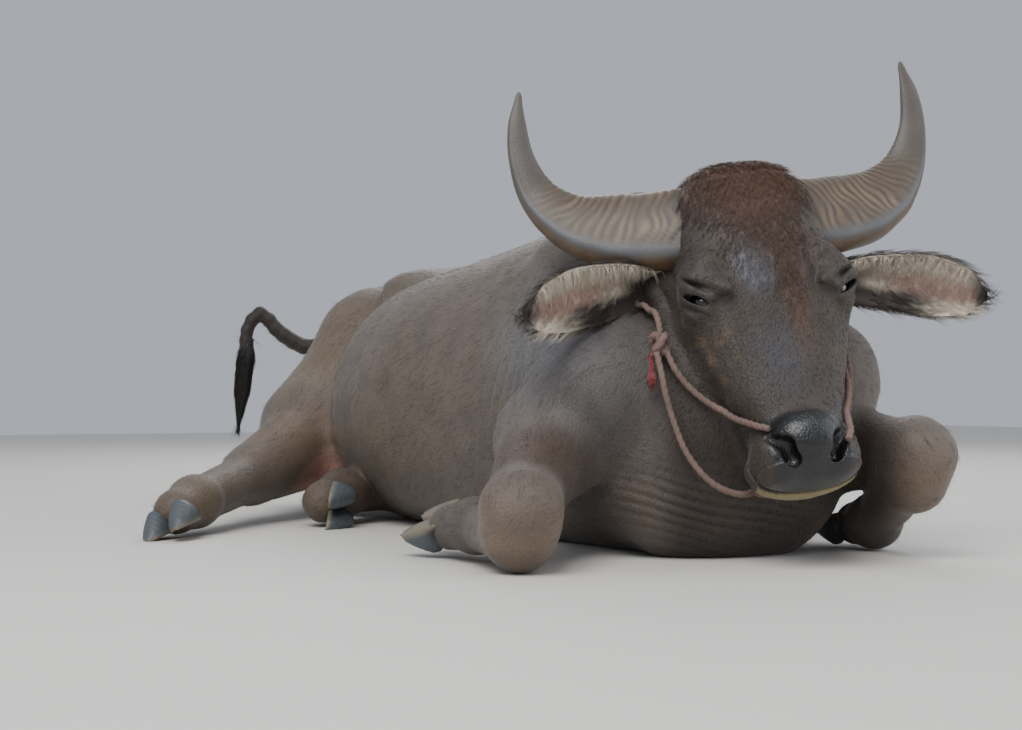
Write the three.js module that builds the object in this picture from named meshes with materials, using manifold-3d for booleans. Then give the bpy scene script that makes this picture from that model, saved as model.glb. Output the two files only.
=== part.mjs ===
// A water buffalo resting on its breastbone with its head up, life size, in millimetres.
// It faces -Y, its left side is +X and the floor is z = 0. The origin is under the brisket.
import * as THREE from "three";
import { mergeVertices } from "three/addons/utils/BufferGeometryUtils.js";
import Module from "manifold-3d";

const wasm = await Module();
wasm.setup();

const at = (x, y, z) => new THREE.Vector3(x, y, z);
const degrees = THREE.MathUtils.degToRad;
const SIDES = { right: -1, left: 1 };

// Driving dimensions
const GAP = 0.3; // between touching pieces
const HEAD_LENGTH = 484; // crown to muzzle
const CROWN = at(-32, -70, 557); // top of the head between the horns
const HEAD_TURN = new THREE.Euler(degrees(90 + 62), degrees(-6), degrees(-19), "ZYX");
const EYE_RADIUS = 19;
const EYE = { across: 96, down: 192, out: -22 };
const LID = 3.2;
const NOSTRIL = { across: 36, down: 424, out: -14 };
const EAR_LENGTH = 262;
const EAR_HALF_WIDTH = 46;
const HORN_RIDGES = 13;
const CLAW_LENGTH = 80;
const CLAW_WIDTH = 42;
const CLAW_HEIGHT = 46;
const CLEFT = 4;
const ROPE_RADIUS = 5.5;

// Joints of the limbs, as they lie folded
const ELBOW = { right: at(-262, 100, 170), left: at(225, 110, 160) };
const KNEE = { right: at(-412, -98, 74), left: at(186, -190, 140) };
const FORE_FETLOCK = { right: at(-400, 66, 52), left: at(218, -58, 44) };
const FORE_PASTERN = { right: at(-415, 124, 46), left: at(226, -6, 38) };
const HIP = { right: at(-110, 1200, 330), left: at(210, 1180, 230) };
const STIFLE = { right: at(-300, 1010, 165), left: at(318, 930, 120) };
const HOCK = { right: at(-515, 830, 88), left: at(-180, 880, 62) };
const HIND_FETLOCK = { right: at(-660, 668, 56), left: at(-362, 750, 58) };
const HIND_PASTERN = { right: at(-702, 622, 44), left: at(-412, 712, 46) };
const TAIL_ROOT = at(-30, 1352, 440);

// The head's own frame: x across to its left, y out of the forehead, z from crown to muzzle
const headFrame = new THREE.Matrix4().makeRotationFromEuler(HEAD_TURN).setPosition(CROWN);
const onHead = (across, down, out) => at(across, out, down);
const headPoint = (across, down, out) => onHead(across, down, out).applyMatrix4(headFrame);

// Fields: distances to a surface, negative inside

/** The lower of two distances, with a fillet of the given radius where they meet. */
function smooth(a, b, radius) {
  if (radius <= 0) return Math.min(a, b);
  const near = Math.max(radius - Math.abs(a - b), 0);
  return Math.min(a, b) - (near * near) / (4 * radius);
}

/** One field out of [field, fillet] pairs, each joined to those before it. */
function joined(...parts) {
  return (x, y, z) => {
    let d = parts[0][0](x, y, z);
    for (let i = 1; i < parts.length; i++) d = smooth(d, parts[i][0](x, y, z), parts[i][1]);
    return d;
  };
}

/** A field with a hollow pressed into it. */
function pressed(field, hollow, fillet) {
  return (x, y, z) => -smooth(-field(x, y, z), hollow(x, y, z), fillet);
}

/** A limb: two balls and the cone that wraps them. */
function limb(a, b, radiusA, radiusB) {
  const axis = b.clone().sub(a);
  const square = axis.lengthSq();
  const taper = radiusA - radiusB;
  const slope = square - taper * taper;
  return (x, y, z) => {
    const px = x - a.x;
    const py = y - a.y;
    const pz = z - a.z;
    const along = px * axis.x + py * axis.y + pz * axis.z;
    const past = along - square;
    const qx = px * square - axis.x * along;
    const qy = py * square - axis.y * along;
    const qz = pz * square - axis.z * along;
    const side = qx * qx + qy * qy + qz * qz;
    const alongSquare = along * along * square;
    const pastSquare = past * past * square;
    const edge = Math.sign(taper) * taper * taper * side;
    const beyond = Math.sign(past) * slope * pastSquare > edge;
    const before = Math.sign(along) * slope * alongSquare < edge;
    if (beyond) return Math.sqrt(side + pastSquare) / square - radiusB;
    if (before) return Math.sqrt(side + alongSquare) / square - radiusA;
    return (Math.sqrt((side * slope) / square) + along * taper) / square - radiusA;
  };
}

/** An ellipsoid with its three half sizes along the axes. */
function mass(centre, halfX, halfY, halfZ) {
  return (x, y, z) => {
    const px = (x - centre.x) / halfX;
    const py = (y - centre.y) / halfY;
    const pz = (z - centre.z) / halfZ;
    const k0 = Math.hypot(px, py, pz);
    if (k0 < 1e-6) return -Math.min(halfX, halfY, halfZ);
    return (k0 * (k0 - 1)) / Math.hypot(px / halfX, py / halfY, pz / halfZ);
  };
}

/** A smooth curve through one value of each station, with no overshoot. */
function through(stations, name) {
  const t = stations.map((s) => s.at);
  const v = stations.map((s) => s[name]);
  const rise = v.slice(1).map((next, i) => (next - v[i]) / (t[i + 1] - t[i]));
  const slope = v.map((_, i) => {
    const before = rise[i - 1];
    const after = rise[i];
    return before * after > 0 ? (2 * before * after) / (before + after) : 0;
  });
  return (x) => {
    let i = 0;
    while (i < t.length - 2 && x > t[i + 1]) i++;
    const h = t[i + 1] - t[i];
    const u = THREE.MathUtils.clamp((x - t[i]) / h, 0, 1);
    const w = 1 - u;
    const ends = (1 + 2 * u) * w * w * v[i] + u * u * (3 - 2 * u) * v[i + 1];
    return ends + u * w * w * h * slope[i] - u * u * w * h * slope[i + 1];
  };
}

/** A body lofted along an axis through stations whose upper and lower halves are superellipses. */
function loft(stations, capStart, capEnd) {
  const names = ["middle", "right", "left", "top", "bottom", "waist", "crown", "keel"];
  const [middle, right, left, top, bottom, waist, crown, keel] = names.map((n) => through(stations, n));
  const first = stations[0].at;
  const last = stations[stations.length - 1].at;
  return (along, side, up) => {
    const t = THREE.MathUtils.clamp(along, first, last);
    const dx = side - middle(t);
    const dz = up - waist(t);
    const half = dx < 0 ? right(t) : left(t);
    const height = dz > 0 ? top(t) - waist(t) : waist(t) - bottom(t);
    const power = dz > 0 ? crown(t) : keel(t);
    const q = ((Math.abs(dx) / half) ** power + (Math.abs(dz) / height) ** power) ** (1 / power);
    const over = Math.max((first - along) / capStart, 0) + Math.max((along - last) / capEnd, 0);
    const least = Math.min(half, height);
    const radial = q < 1e-3 ? least : Math.hypot(dx, dz) / q;
    const scale = over > 0 ? Math.min(least, capStart, capEnd) : Math.min(radial, least * 1.3);
    return (Math.hypot(q, over) - 1) * scale;
  };
}

/** A field given in the head's frame, for points of the world. */
function fromHead(field) {
  const e = headFrame.clone().invert().elements;
  return (x, y, z) =>
    field(
      e[0] * x + e[4] * y + e[8] * z + e[12],
      e[1] * x + e[5] * y + e[9] * z + e[13],
      e[2] * x + e[6] * y + e[10] * z + e[14],
    );
}

/** A field given for points of the world, for points in the head's frame. */
function toHead(field) {
  const e = headFrame.elements;
  return (x, y, z) =>
    field(
      e[0] * x + e[4] * y + e[8] * z + e[12],
      e[1] * x + e[5] * y + e[9] * z + e[13],
      e[2] * x + e[6] * y + e[10] * z + e[14],
    );
}

// The trunk, from brisket to rump, with the pelvis rolled towards the left haunch
const TRUNK_STATIONS = [
  [20, -8, 225, 220, 400, -12, 205, 2.2, 2.4],
  [150, 0, 262, 248, 508, -22, 225, 2.1, 2.4],
  [300, 4, 285, 270, 548, -26, 235, 2.0, 2.5],
  [480, 2, 325, 312, 526, -28, 235, 2.05, 2.5],
  [660, 4, 362, 338, 505, -30, 225, 2.1, 2.5],
  [820, 14, 366, 336, 499, -30, 222, 2.1, 2.5],
  [960, 40, 330, 318, 505, -26, 230, 2.0, 2.4],
  [1100, 62, 262, 296, 508, -10, 250, 1.9, 2.3],
  [1220, 70, 205, 250, 498, 5, 262, 1.85, 2.2],
  [1300, 64, 150, 188, 470, 40, 266, 1.9, 2.1],
].map(([at, middle, right, left, top, bottom, waist, crown, keel]) => ({
  at, middle, right, left, top, bottom, waist, crown, keel,
}));

// The skull with its flesh, crown to muzzle
const SKULL_STATIONS = [
  [-20, 86, -22, -150, -75, 2.2, 2.0],
  [30, 106, 0, -178, -62, 2.5, 2.0],
  [90, 113, 14, -212, -58, 2.6, 1.9],
  [150, 114, 18, -236, -52, 2.6, 1.8],
  [200, 112, 10, -236, -52, 2.6, 1.75],
  [260, 98, -2, -212, -56, 2.5, 1.8],
  [320, 80, -9, -184, -60, 2.4, 1.9],
  [380, 68, -11, -160, -64, 2.3, 2.0],
  [415, 64, -12, -146, -66, 2.3, 2.1],
  [450, 60, -22, -138, -70, 2.3, 2.1],
].map(([at, half, top, bottom, waist, crown, keel]) => ({
  at, middle: 0, right: half, left: half, top, bottom, waist, crown, keel,
}));

/** The head: brow, cheeks, jaw, muzzle pad, lips and chin over the skull. */
function headField() {
  const skull = loft(SKULL_STATIONS, 45, 22);
  const even = joined(
    [(x, y, z) => skull(z, x, y), 0],
    [mass(onHead(106, 174, -28), 25, 30, 42), 26],
    [limb(onHead(86, 140, 2), onHead(112, 170, -8), 18, 15), 18],
    [mass(onHead(66, 216, -130), 44, 76, 84), 34],
    [limb(onHead(40, 250, -188), onHead(22, 400, -134), 24, 18), 30],
    [limb(onHead(98, 214, -60), onHead(66, 330, -62), 16, 12), 26],
    [mass(onHead(0, 424, -62), 76, 46, 44), 24],
    [mass(onHead(0, 414, -18), 46, 28, 40), 14],
    [mass(onHead(42, 434, -42), 30, 29, 35), 16],
    [mass(onHead(34, 434, -84), 46, 28, 31), 16],
    [mass(onHead(0, 410, -116), 48, 20, 40), 10],
    [mass(onHead(0, 10, -30), 94, 42, 46), 30],
  );
  return (x, y, z) => even(Math.abs(x), y, z);
}

/** Trunk, shoulders, haunch points, neck and head as one smooth body. */
function bodyField() {
  const barrel = loft(TRUNK_STATIONS, 150, 95);
  const whole = joined(
    [(x, y, z) => barrel(y, x, z), 0],
    [limb(at(0, 300, 512), at(-6, 820, 466), 34, 30), 40],
    [limb(at(-6, 820, 466), at(-18, 1290, 440), 30, 34), 40],
    [limb(at(-130, 230, 430), at(-196, 62, 240), 86, 92), 50],
    [limb(at(-196, 62, 240), ELBOW.right, 92, 78), 50],
    [limb(at(126, 210, 415), at(206, 72, 266), 80, 88), 60],
    [limb(at(206, 72, 266), ELBOW.left, 88, 72), 50],
    [mass(at(-104, 1030, 462), 60, 80, 34), 70],
    [mass(at(290, 1060, 380), 50, 60, 40), 60],
    [limb(at(-92, 1300, 352), at(-110, 1330, 400), 62, 34), 50],
    [limb(at(40, 1290, 330), at(66, 1338, 376), 70, 34), 50],
    [mass(at(-262, 905, 92), 88, 80, 78), 30],
    [limb(headPoint(0, 60, -120), at(0, 190, 400), 112, 165), 60],
    [limb(headPoint(0, 40, -92), at(0, 240, 452), 76, 76), 60],
    [limb(headPoint(0, 150, -190), at(-5, 72, 200), 70, 146), 40],
    [mass(at(-10, 24, 110), 190, 118, 130), 30],
    [fromHead(headField()), 24],
  );
  return pressed(whole, mass(at(-196, 925, 512), 66, 92, 54), 40);
}

// Limbs below the trunk
const forearm = (side) =>
  joined(
    [limb(ELBOW[side], KNEE[side].clone().add(at(6, 16, 14)), side === "right" ? 78 : 72, 50), 0],
    [limb(KNEE[side].clone().add(at(0, -10, 12)), KNEE[side].clone().add(at(4, 8, -28)), 49, 46), 24],
  );

const cannon = (top, fetlock, pastern, girth) =>
  joined(
    [limb(top, fetlock, girth, girth - 7), 0],
    [mass(fetlock, girth, girth, girth - 2), 16],
    [limb(fetlock, pastern, girth - 5, girth - 7), 14],
  );

const thigh = (side) =>
  joined(
    [limb(HIP[side], STIFLE[side], side === "right" ? 150 : 145, 105), 0],
    ...(side === "right"
      ? [
          [limb(at(-150, 1290, 240), at(-340, 1040, 175), 100, 88), 70],
          [limb(STIFLE.right, HOCK.right, 100, 56), 50],
          [mass(HOCK.right.clone().add(at(8, 22, 6)), 50, 56, 48), 20],
        ]
      : []),
  );

// Skins: closed surfaces of a field on a grid

/** The gradient of a field at a point. */
function gradient(field, p, step = 0.5) {
  return at(
    field(p.x + step, p.y, p.z) - field(p.x - step, p.y, p.z),
    field(p.x, p.y + step, p.z) - field(p.x, p.y - step, p.z),
    field(p.x, p.y, p.z + step) - field(p.x, p.y, p.z - step),
  ).divideScalar(2 * step);
}

/** Moves a point along the gradient until the field there has the given value. */
function settled(field, point, value = 0, reach = Infinity, rounds = 4) {
  const p = point.clone();
  for (let i = 0; i < rounds; i++) {
    const g = gradient(field, p);
    const step = (field(p.x, p.y, p.z) - value) / (g.lengthSq() + 1e-6);
    p.addScaledVector(g, -THREE.MathUtils.clamp(step, -reach, reach));
  }
  return p;
}

/** The field's zero surface inside a box as a closed solid, one vertex to each cell it crosses. */
function skin(field, low, high, cell) {
  const n = high.clone().sub(low).divideScalar(cell).ceil().addScalar(1);
  const index = (i, j, k) => (i * n.y + j) * n.z + k;
  const values = new Float64Array(n.x * n.y * n.z);
  const rim = (i, j, k) =>
    i === 0 || j === 0 || k === 0 || i === n.x - 1 || j === n.y - 1 || k === n.z - 1;
  for (let i = 0; i < n.x; i++)
    for (let j = 0; j < n.y; j++)
      for (let k = 0; k < n.z; k++) {
        const d = field(low.x + i * cell, low.y + j * cell, low.z + k * cell) || 1e-6;
        values[index(i, j, k)] = rim(i, j, k) ? Math.max(d, cell * 0.01) : d;
      }
  const vertexOf = new Int32Array(values.length).fill(-1);
  const points = [];
  for (let i = 0; i < n.x - 1; i++)
    for (let j = 0; j < n.y - 1; j++)
      for (let k = 0; k < n.z - 1; k++) {
        const sum = at(0, 0, 0);
        let crossings = 0;
        for (let axis = 0; axis < 3; axis++)
          for (let corner = 0; corner < 4; corner++) {
            const a = [0, 0, 0];
            a[(axis + 1) % 3] = corner & 1;
            a[(axis + 2) % 3] = corner >> 1;
            const b = [...a];
            b[axis] = 1;
            const va = values[index(i + a[0], j + a[1], k + a[2])];
            const vb = values[index(i + b[0], j + b[1], k + b[2])];
            if (va < 0 === vb < 0) continue;
            a[axis] = va / (va - vb);
            sum.add(at(...a));
            crossings++;
          }
        if (!crossings) continue;
        const p = sum.divideScalar(crossings).add(at(i, j, k)).multiplyScalar(cell).add(low);
        const edge = rim(i, j, k) || rim(i + 1, j + 1, k + 1);
        vertexOf[index(i, j, k)] = points.length;
        points.push(edge ? p : settled(field, p, 0, cell / 3, 2));
      }
  const triangles = [];
  const stride = [n.y * n.z, n.z, 1];
  for (let i = 1; i < n.x - 1; i++)
    for (let j = 1; j < n.y - 1; j++)
      for (let k = 1; k < n.z - 1; k++)
        for (let axis = 0; axis < 3; axis++) {
          const here = index(i, j, k);
          addQuad(here, stride[axis], stride[(axis + 1) % 3], stride[(axis + 2) % 3]);
        }
  function addQuad(here, step, b, c) {
    const inside = values[here] < 0;
    if (inside === values[here + step] < 0) return;
    const corners = [here - b - c, here - c, here, here - b].map((cellAt) => vertexOf[cellAt]);
    if (!inside) corners.reverse();
    const [p, q, r, s] = corners;
    const short = points[p].distanceTo(points[r]) < points[q].distanceTo(points[s]);
    triangles.push(...(short ? [p, q, r, p, r, s] : [q, r, s, q, s, p]));
  }
  // Edges that leave the first layer of nodes along their own axis start on the rim
  for (let axis = 0; axis < 3; axis++) {
    const [u, v] = [(axis + 1) % 3, (axis + 2) % 3];
    const size = [n.x, n.y, n.z];
    for (let a = 1; a < size[u] - 1; a++)
      for (let b = 1; b < size[v] - 1; b++) {
        const here = a * stride[u] + b * stride[v];
        addQuad(here, stride[axis], stride[u], stride[v]);
      }
  }
  return solidOf(points.flatMap((p) => p.toArray()), triangles);
}

// Solids and meshes

/** A manifold solid from positions and triangles. */
function solidOf(positions, triangles) {
  const mesh = new wasm.Mesh({
    numProp: 3,
    vertProperties: new Float32Array(positions),
    triVerts: new Uint32Array(triangles),
  });
  return new wasm.Manifold(mesh);
}

/** A manifold solid from a three.js geometry, placed by a matrix. */
function solidFrom(geometry, matrix = new THREE.Matrix4()) {
  const bare = new THREE.BufferGeometry().setAttribute("position", geometry.getAttribute("position").clone());
  if (geometry.index) bare.setIndex(geometry.index.clone());
  const merged = mergeVertices(bare.applyMatrix4(matrix), 1e-3);
  return solidOf(merged.attributes.position.array, dropCollapsed(merged.index.array));
}

/** The triangles that keep three different corners after merging. */
function dropCollapsed(triangles) {
  const kept = [];
  for (let i = 0; i < triangles.length; i += 3) {
    const [a, b, c] = triangles.slice(i, i + 3);
    if (a !== b && b !== c && c !== a) kept.push(a, b, c);
  }
  return kept;
}

/** A closed solid through rings of points, each end closed by a fan round its middle. */
function ringed(rings) {
  const count = rings[0].length;
  const middles = [rings[0], rings[rings.length - 1]].map((ring) =>
    ring.reduce((sum, p) => sum.add(p), at(0, 0, 0)).divideScalar(count),
  );
  const points = [...rings.flat(), ...middles];
  const start = rings.length * count;
  const triangles = [];
  for (let k = 0; k < count; k++) {
    const next = (k + 1) % count;
    for (let r = 0; r < rings.length - 1; r++) {
      const a = r * count;
      const b = a + count;
      triangles.push(a + k, a + next, b + next, a + k, b + next, b + k);
    }
    const last = (rings.length - 1) * count;
    triangles.push(start, next, k, start + 1, last + k, last + next);
  }
  let volume = 0;
  for (let i = 0; i < triangles.length; i += 3) {
    const [a, b, c] = triangles.slice(i, i + 3).map((v) => points[v]);
    volume += a.dot(b.clone().cross(c));
  }
  if (volume < 0) triangles.reverse();
  return solidOf(points.flatMap((p) => p.toArray()), triangles);
}

/** The largest closed surface of a solid. */
function largest(solid) {
  return solid.decompose().reduce((best, part) => (part.volume() > best.volume() ? part : best));
}

/** A solid less each of the others. */
function less(solid, ...others) {
  return largest(others.reduce((left, other) => left.subtract(other), solid));
}

/** A solid with each vertex moved out along its normal: what its neighbours are cut by. */
function grown(solid, by = GAP) {
  const mesh = solid.getMesh();
  const geometry = new THREE.BufferGeometry()
    .setAttribute("position", new THREE.BufferAttribute(mesh.vertProperties.slice(), mesh.numProp))
    .setIndex(new THREE.BufferAttribute(mesh.triVerts, 1));
  geometry.computeVertexNormals();
  const { position, normal } = geometry.attributes;
  const moved = new Float32Array(position.array.length);
  for (let i = 0; i < moved.length; i++) moved[i] = position.array[i] + by * 1.5 * normal.array[i];
  return solidOf(moved, mesh.triVerts).add(solid);
}

/** What lies ahead of a plane through a point, or behind it where ahead is false. */
function parted(solid, point, normal, ahead) {
  const n = normal.clone().normalize().multiplyScalar(ahead ? 1 : -1);
  return solid.trimByPlane(n.toArray(), n.dot(point) + GAP / 2);
}

/** A solid with all below the floor cut off. */
function onFloor(solid) {
  return largest(solid.trimByPlane([0, 0, 1], 0));
}

/** A solid with corners closer than a given reach made one, where that keeps it closed. */
function welded(solid, reach = 0.04) {
  const mesh = solid.getMesh();
  const geometry = new THREE.BufferGeometry()
    .setAttribute("position", new THREE.BufferAttribute(mesh.vertProperties, mesh.numProp))
    .setIndex(new THREE.BufferAttribute(mesh.triVerts, 1));
  const merged = mergeVertices(geometry, reach);
  try {
    return solidOf(merged.attributes.position.array, dropCollapsed(merged.index.array));
  } catch {
    return solid;
  }
}

/** A named mesh of a solid, with a material of its own. */
function piece(name, solid, colour, roughness) {
  const mesh = welded(solid).getMesh();
  const geometry = new THREE.BufferGeometry()
    .setAttribute("position", new THREE.BufferAttribute(mesh.vertProperties, mesh.numProp))
    .setIndex(new THREE.BufferAttribute(mesh.triVerts, 1));
  geometry.computeVertexNormals();
  const material = new THREE.MeshStandardMaterial({ color: colour, roughness, metalness: 0 });
  const made = new THREE.Mesh(geometry, material);
  made.name = name;
  return made;
}

const HIDE = "#4a423d";
const HIDE_TAN = "#6b5138";
const HORN_COLOUR = "#5d5047";
const HOOF_COLOUR = "#6f7378";
const EYE_COLOUR = "#14100e";
const ROPE_COLOUR = "#8d6f60";
const TASSEL_COLOUR = "#7c2a26";

// Trunk, neck and head, parted by planes

const body = bodyField();
const NECK_BASE = { point: at(0, 180, 560), normal: at(0, -0.72, 0.7) };

/** The block that holds the head, in the head's frame: behind the poll, under the jaw, beside the cheeks. */
function headBlock(grow) {
  const faces = [
    [onHead(0, -34, -44), onHead(0, 0.646, 0.763)],
    [onHead(0, 200, -246), onHead(0, -0.252, 0.968)],
    [onHead(-136, 200, 0), onHead(1, -0.14, 0)],
    [onHead(136, 200, 0), onHead(-1, -0.14, 0)],
  ];
  return faces.reduce((block, [point, normal]) => {
    const n = normal.clone().normalize();
    return block.trimByPlane(n.toArray(), n.dot(point) + GAP / 2 - grow);
  }, solidFrom(new THREE.BoxGeometry(1600, 1600, 1600)));
}

const headBlockWorld = headBlock(GAP).transform(headFrame.elements);

/** The trunk behind the neck's base. */
function trunkSolid() {
  const whole = skin(body, at(-440, -230, -60), at(440, 1480, 660), 66);
  const behind = parted(whole, NECK_BASE.point, NECK_BASE.normal, false);
  return onFloor(behind.subtract(headBlockWorld));
}

/** The neck and throat between the trunk and the skull. */
function neckSolid() {
  const whole = skin(body, at(-300, -230, 120), at(290, 300, 660), 32);
  return less(parted(whole, NECK_BASE.point, NECK_BASE.normal, true), headBlockWorld);
}

const trunk = trunkSolid();
const trunkClear = grown(trunk);
const neck = neckSolid();
const neckClear = grown(neck);

/** A nostril: a comma of balls that curls back along the wing of the nose. */
function nostrilField(side) {
  const s = SIDES[side];
  const { across, down, out } = NOSTRIL;
  return joined(
    [limb(onHead(s * (across - 8), down + 22, out - 10), onHead(s * across, down + 4, out + 4), 10, 9), 0],
    [limb(onHead(s * across, down + 4, out + 4), onHead(s * (across + 17), down - 14, out + 2), 9, 4), 4],
  );
}

/** The line of the mouth: a thin wedge round the muzzle that rises to its corners. */
function mouthSolid() {
  const rows = 9;
  const rings = [];
  for (let i = 0; i <= rows; i++) {
    const turn = degrees(-112 + (224 * i) / rows);
    const reach = { across: 84 * Math.sin(turn), down: 404 + 66 * Math.cos(turn) };
    const root = { across: 48 * Math.sin(turn), down: 400 + 22 * Math.cos(turn) };
    const level = -101 + 3 * Math.sin(turn) ** 2;
    rings.push([
      onHead(root.across, root.down, level),
      onHead(reach.across, reach.down, level - 3.5),
      onHead(reach.across, reach.down, level + 3.5),
    ]);
  }
  return ringed(rings);
}

/** The almond between the lids of one eye, wider than it is open. */
function eyeSlit(side) {
  const s = SIDES[side];
  const outward = onHead(s * 0.72, 0, 0.69).normalize();
  const inner = onHead(s * -0.5, 0.66, 0.55);
  inner.addScaledVector(outward, -inner.dot(outward)).normalize();
  const up = inner.clone().cross(outward);
  const point = (u, out, lift) =>
    eyeCentre(side).addScaledVector(inner, u).addScaledVector(outward, out).addScaledVector(up, lift);
  const rings = [];
  const steps = 8;
  for (let i = 0; i <= steps; i++) {
    const u = -1 + (2 * i) / steps;
    const open = 3.6 * (1 - u * u) + 0.5;
    const long = 16 * u;
    rings.push([point(15 * u, 6, 0), point(long, 34, -open), point(long, 38, 0), point(long, 34, open)]);
  }
  return ringed(rings);
}

const eyeCentre = (side) => onHead(SIDES[side] * EYE.across, EYE.down, EYE.out);
const eyeShape = (radius) => new THREE.SphereGeometry(radius, 10, 8);
const eyePlace = (side) => new THREE.Matrix4().setPosition(eyeCentre(side));

/** The head in its own frame with its lids, before it is hollowed. */
function fullHead() {
  const local = toHead(body);
  const lidded = joined(
    [local, 0],
    [mass(eyeCentre("right"), EYE_RADIUS + LID, EYE_RADIUS + LID, EYE_RADIUS + LID), 7],
    [mass(eyeCentre("left"), EYE_RADIUS + LID, EYE_RADIUS + LID, EYE_RADIUS + LID), 7],
  );
  const low = at(-210, -300, -90);
  const high = at(210, 60, HEAD_LENGTH + 40);
  return largest(skin(lidded, low, high, 20).intersect(headBlock(0)));
}

/** The head with eye sockets, slits between the lids, nostrils and the line of the mouth. */
function hollowed(solid) {
  const cutters = [mouthSolid()];
  for (const side of Object.keys(SIDES)) {
    const s = SIDES[side];
    const { across, down, out } = NOSTRIL;
    const from = at(s * across - 40, out - 40, down - 44);
    cutters.push(skin(nostrilField(side), from, from.clone().addScalar(86), 6.5));
    cutters.push(solidFrom(eyeShape(EYE_RADIUS + GAP), eyePlace(side)));
    cutters.push(eyeSlit(side));
  }
  return less(solid, ...cutters);
}

// Horns

const HORN_GIRTH = through(
  [[0, 65], [0.28, 62], [0.43, 50], [0.59, 33], [0.74, 21], [0.88, 14], [1, 5]].map(([at, girth]) => ({
    at, girth,
  })),
  "girth",
);

/** One horn: a broad flat face with slanting ridges, an edge below it and a round back. */
function hornSolid(side, grow = 0) {
  const s = SIDES[side];
  const flare = side === "right" ? 1 : 6;
  const core = new THREE.CatmullRomCurve3([
    onHead(s * 66, 40, -50),
    onHead(s * 140, 31, -67),
    onHead(s * 200, 13, -80),
    onHead(s * (250 - flare * 0.3), -14, -86),
    onHead(s * 290, -60, -81),
    onHead(s * (308 + flare * 0.6), -113, -62),
    onHead(s * (309 + flare), -163, -42),
    onHead(s * (300 + flare * 1.2), -212, -21),
  ]);
  const rings = [];
  const steps = HORN_RIDGES * 2 + 5;
  const sides = 10;
  for (let i = 0; i <= steps; i++) {
    const t = i / steps;
    const p = core.getPointAt(t);
    const along = core.getTangentAt(t);
    const wide = at(0, 1, 0).cross(along).normalize();
    const thick = along.clone().cross(wide).normalize();
    const ridge = t < 0.66 && i > 1 ? (i % 2 ? 1.02 : 0.98) : 1;
    const size = HORN_GIRTH(t) * ridge + grow;
    const ring = [];
    for (let k = 0; k < sides; k++) {
      const a = (2 * Math.PI * (k + 0.5)) / sides;
      const round = Math.sin(a) > 0 ? Math.sin(a) ** 0.7 * 0.5 : Math.sin(a) * 0.76;
      ring.push(p.clone().addScaledVector(wide, Math.cos(a) * size).addScaledVector(thick, round * size));
    }
    rings.push(ring);
  }
  return ringed(rings);
}

// Ears

const EAR_PROFILE = through(
  [[0, 0.5], [0.2, 0.66], [0.45, 0.94], [0.7, 1.04], [0.88, 0.84], [1, 0.34]].map(([at, half]) => ({
    at, half,
  })),
  "half",
);
const EAR_DROOP = 25;

/** One ear: a leaf rolled into a cup, open forwards and down, on a round root. */
function earSolid(side) {
  const s = SIDES[side];
  const start = onHead(s * 92, side === "right" ? 98 : 108, side === "right" ? -122 : -128);
  const right = side === "right";
  const axis = onHead(s * 0.965, right ? 0.2 : 0.25, right ? 0.38 : 0.26).normalize();
  const droop = onHead(0, 0.883, -0.469);
  const open = onHead(0, 0.7, 0.67);
  open.addScaledVector(axis, -open.dot(axis)).normalize();
  const across = axis.clone().cross(open);
  const rings = [];
  const steps = 11;
  const arc = 5;
  for (let i = 0; i <= steps; i++) {
    const t = i / steps;
    const half = EAR_HALF_WIDTH * EAR_PROFILE(t);
    const depth = THREE.MathUtils.lerp(27, 9, t);
    const wall = 4 + 60 * Math.max(0, 0.28 - t);
    const p = start.clone().addScaledVector(axis, t * (EAR_LENGTH + (right ? 26 : 10)));
    p.addScaledVector(droop, EAR_DROOP * t ** 3);
    const back = [];
    const front = [];
    for (let k = 0; k <= arc; k++) {
      const a = (Math.PI * k) / arc;
      const inner = Math.max(depth * Math.sin(a) - wall, -3);
      back.push(earPoint(p, across, open, half * Math.cos(a), -depth * Math.sin(a)));
      front.unshift(earPoint(p, across, open, (half - 2.5) * Math.cos(a), 2 - inner));
    }
    rings.push([...back, ...front]);
  }
  return ringed(rings);
}

function earPoint(centre, across, open, u, v) {
  return centre.clone().addScaledVector(across, u).addScaledVector(open, v);
}

// Hooves

/** One claw in its own frame: x across, y up from the sole, z towards the toe. */
function clawSolid(place) {
  const rows = [
    [0, 0.62, 0.5], [0.14, 0.92, 0.84], [0.38, 1, 1], [0.62, 0.94, 0.76], [0.84, 0.7, 0.44], [1, 0.24, 0.16],
  ];
  const rings = rows.map(([t, wide, high]) => {
    const half = (CLAW_WIDTH / 2) * wide;
    const top = CLAW_HEIGHT * high;
    const ring = [at(half * 0.86, 0, t * CLAW_LENGTH)];
    for (let k = 0; k <= 4; k++) {
      const a = (Math.PI * k) / 4;
      ring.push(at(half * Math.cos(a), top * (0.3 + 0.7 * Math.sin(a)), t * CLAW_LENGTH));
    }
    ring.push(at(-half * 0.86, 0, t * CLAW_LENGTH));
    return ring.map((p) => p.applyMatrix4(place));
  });
  return ringed(rings);
}

/** The two claws of a foot, side by side, from its heel, toe direction and the way its sole faces. */
function claws(heel, toe, sole) {
  const forward = toe.clone().normalize();
  const up = sole.clone().negate();
  up.addScaledVector(forward, -up.dot(forward)).normalize();
  const across = up.clone().cross(forward);
  return [-1, 1].map((s) => {
    const turned = forward.clone().addScaledVector(across, s * 0.05).normalize();
    const beside = up.clone().cross(turned);
    const place = new THREE.Matrix4().makeBasis(beside, up, turned);
    const offset = heel.clone().addScaledVector(across, (s * (CLAW_WIDTH + CLEFT)) / 2);
    return clawSolid(place.setPosition(offset));
  });
}

// Tail

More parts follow.
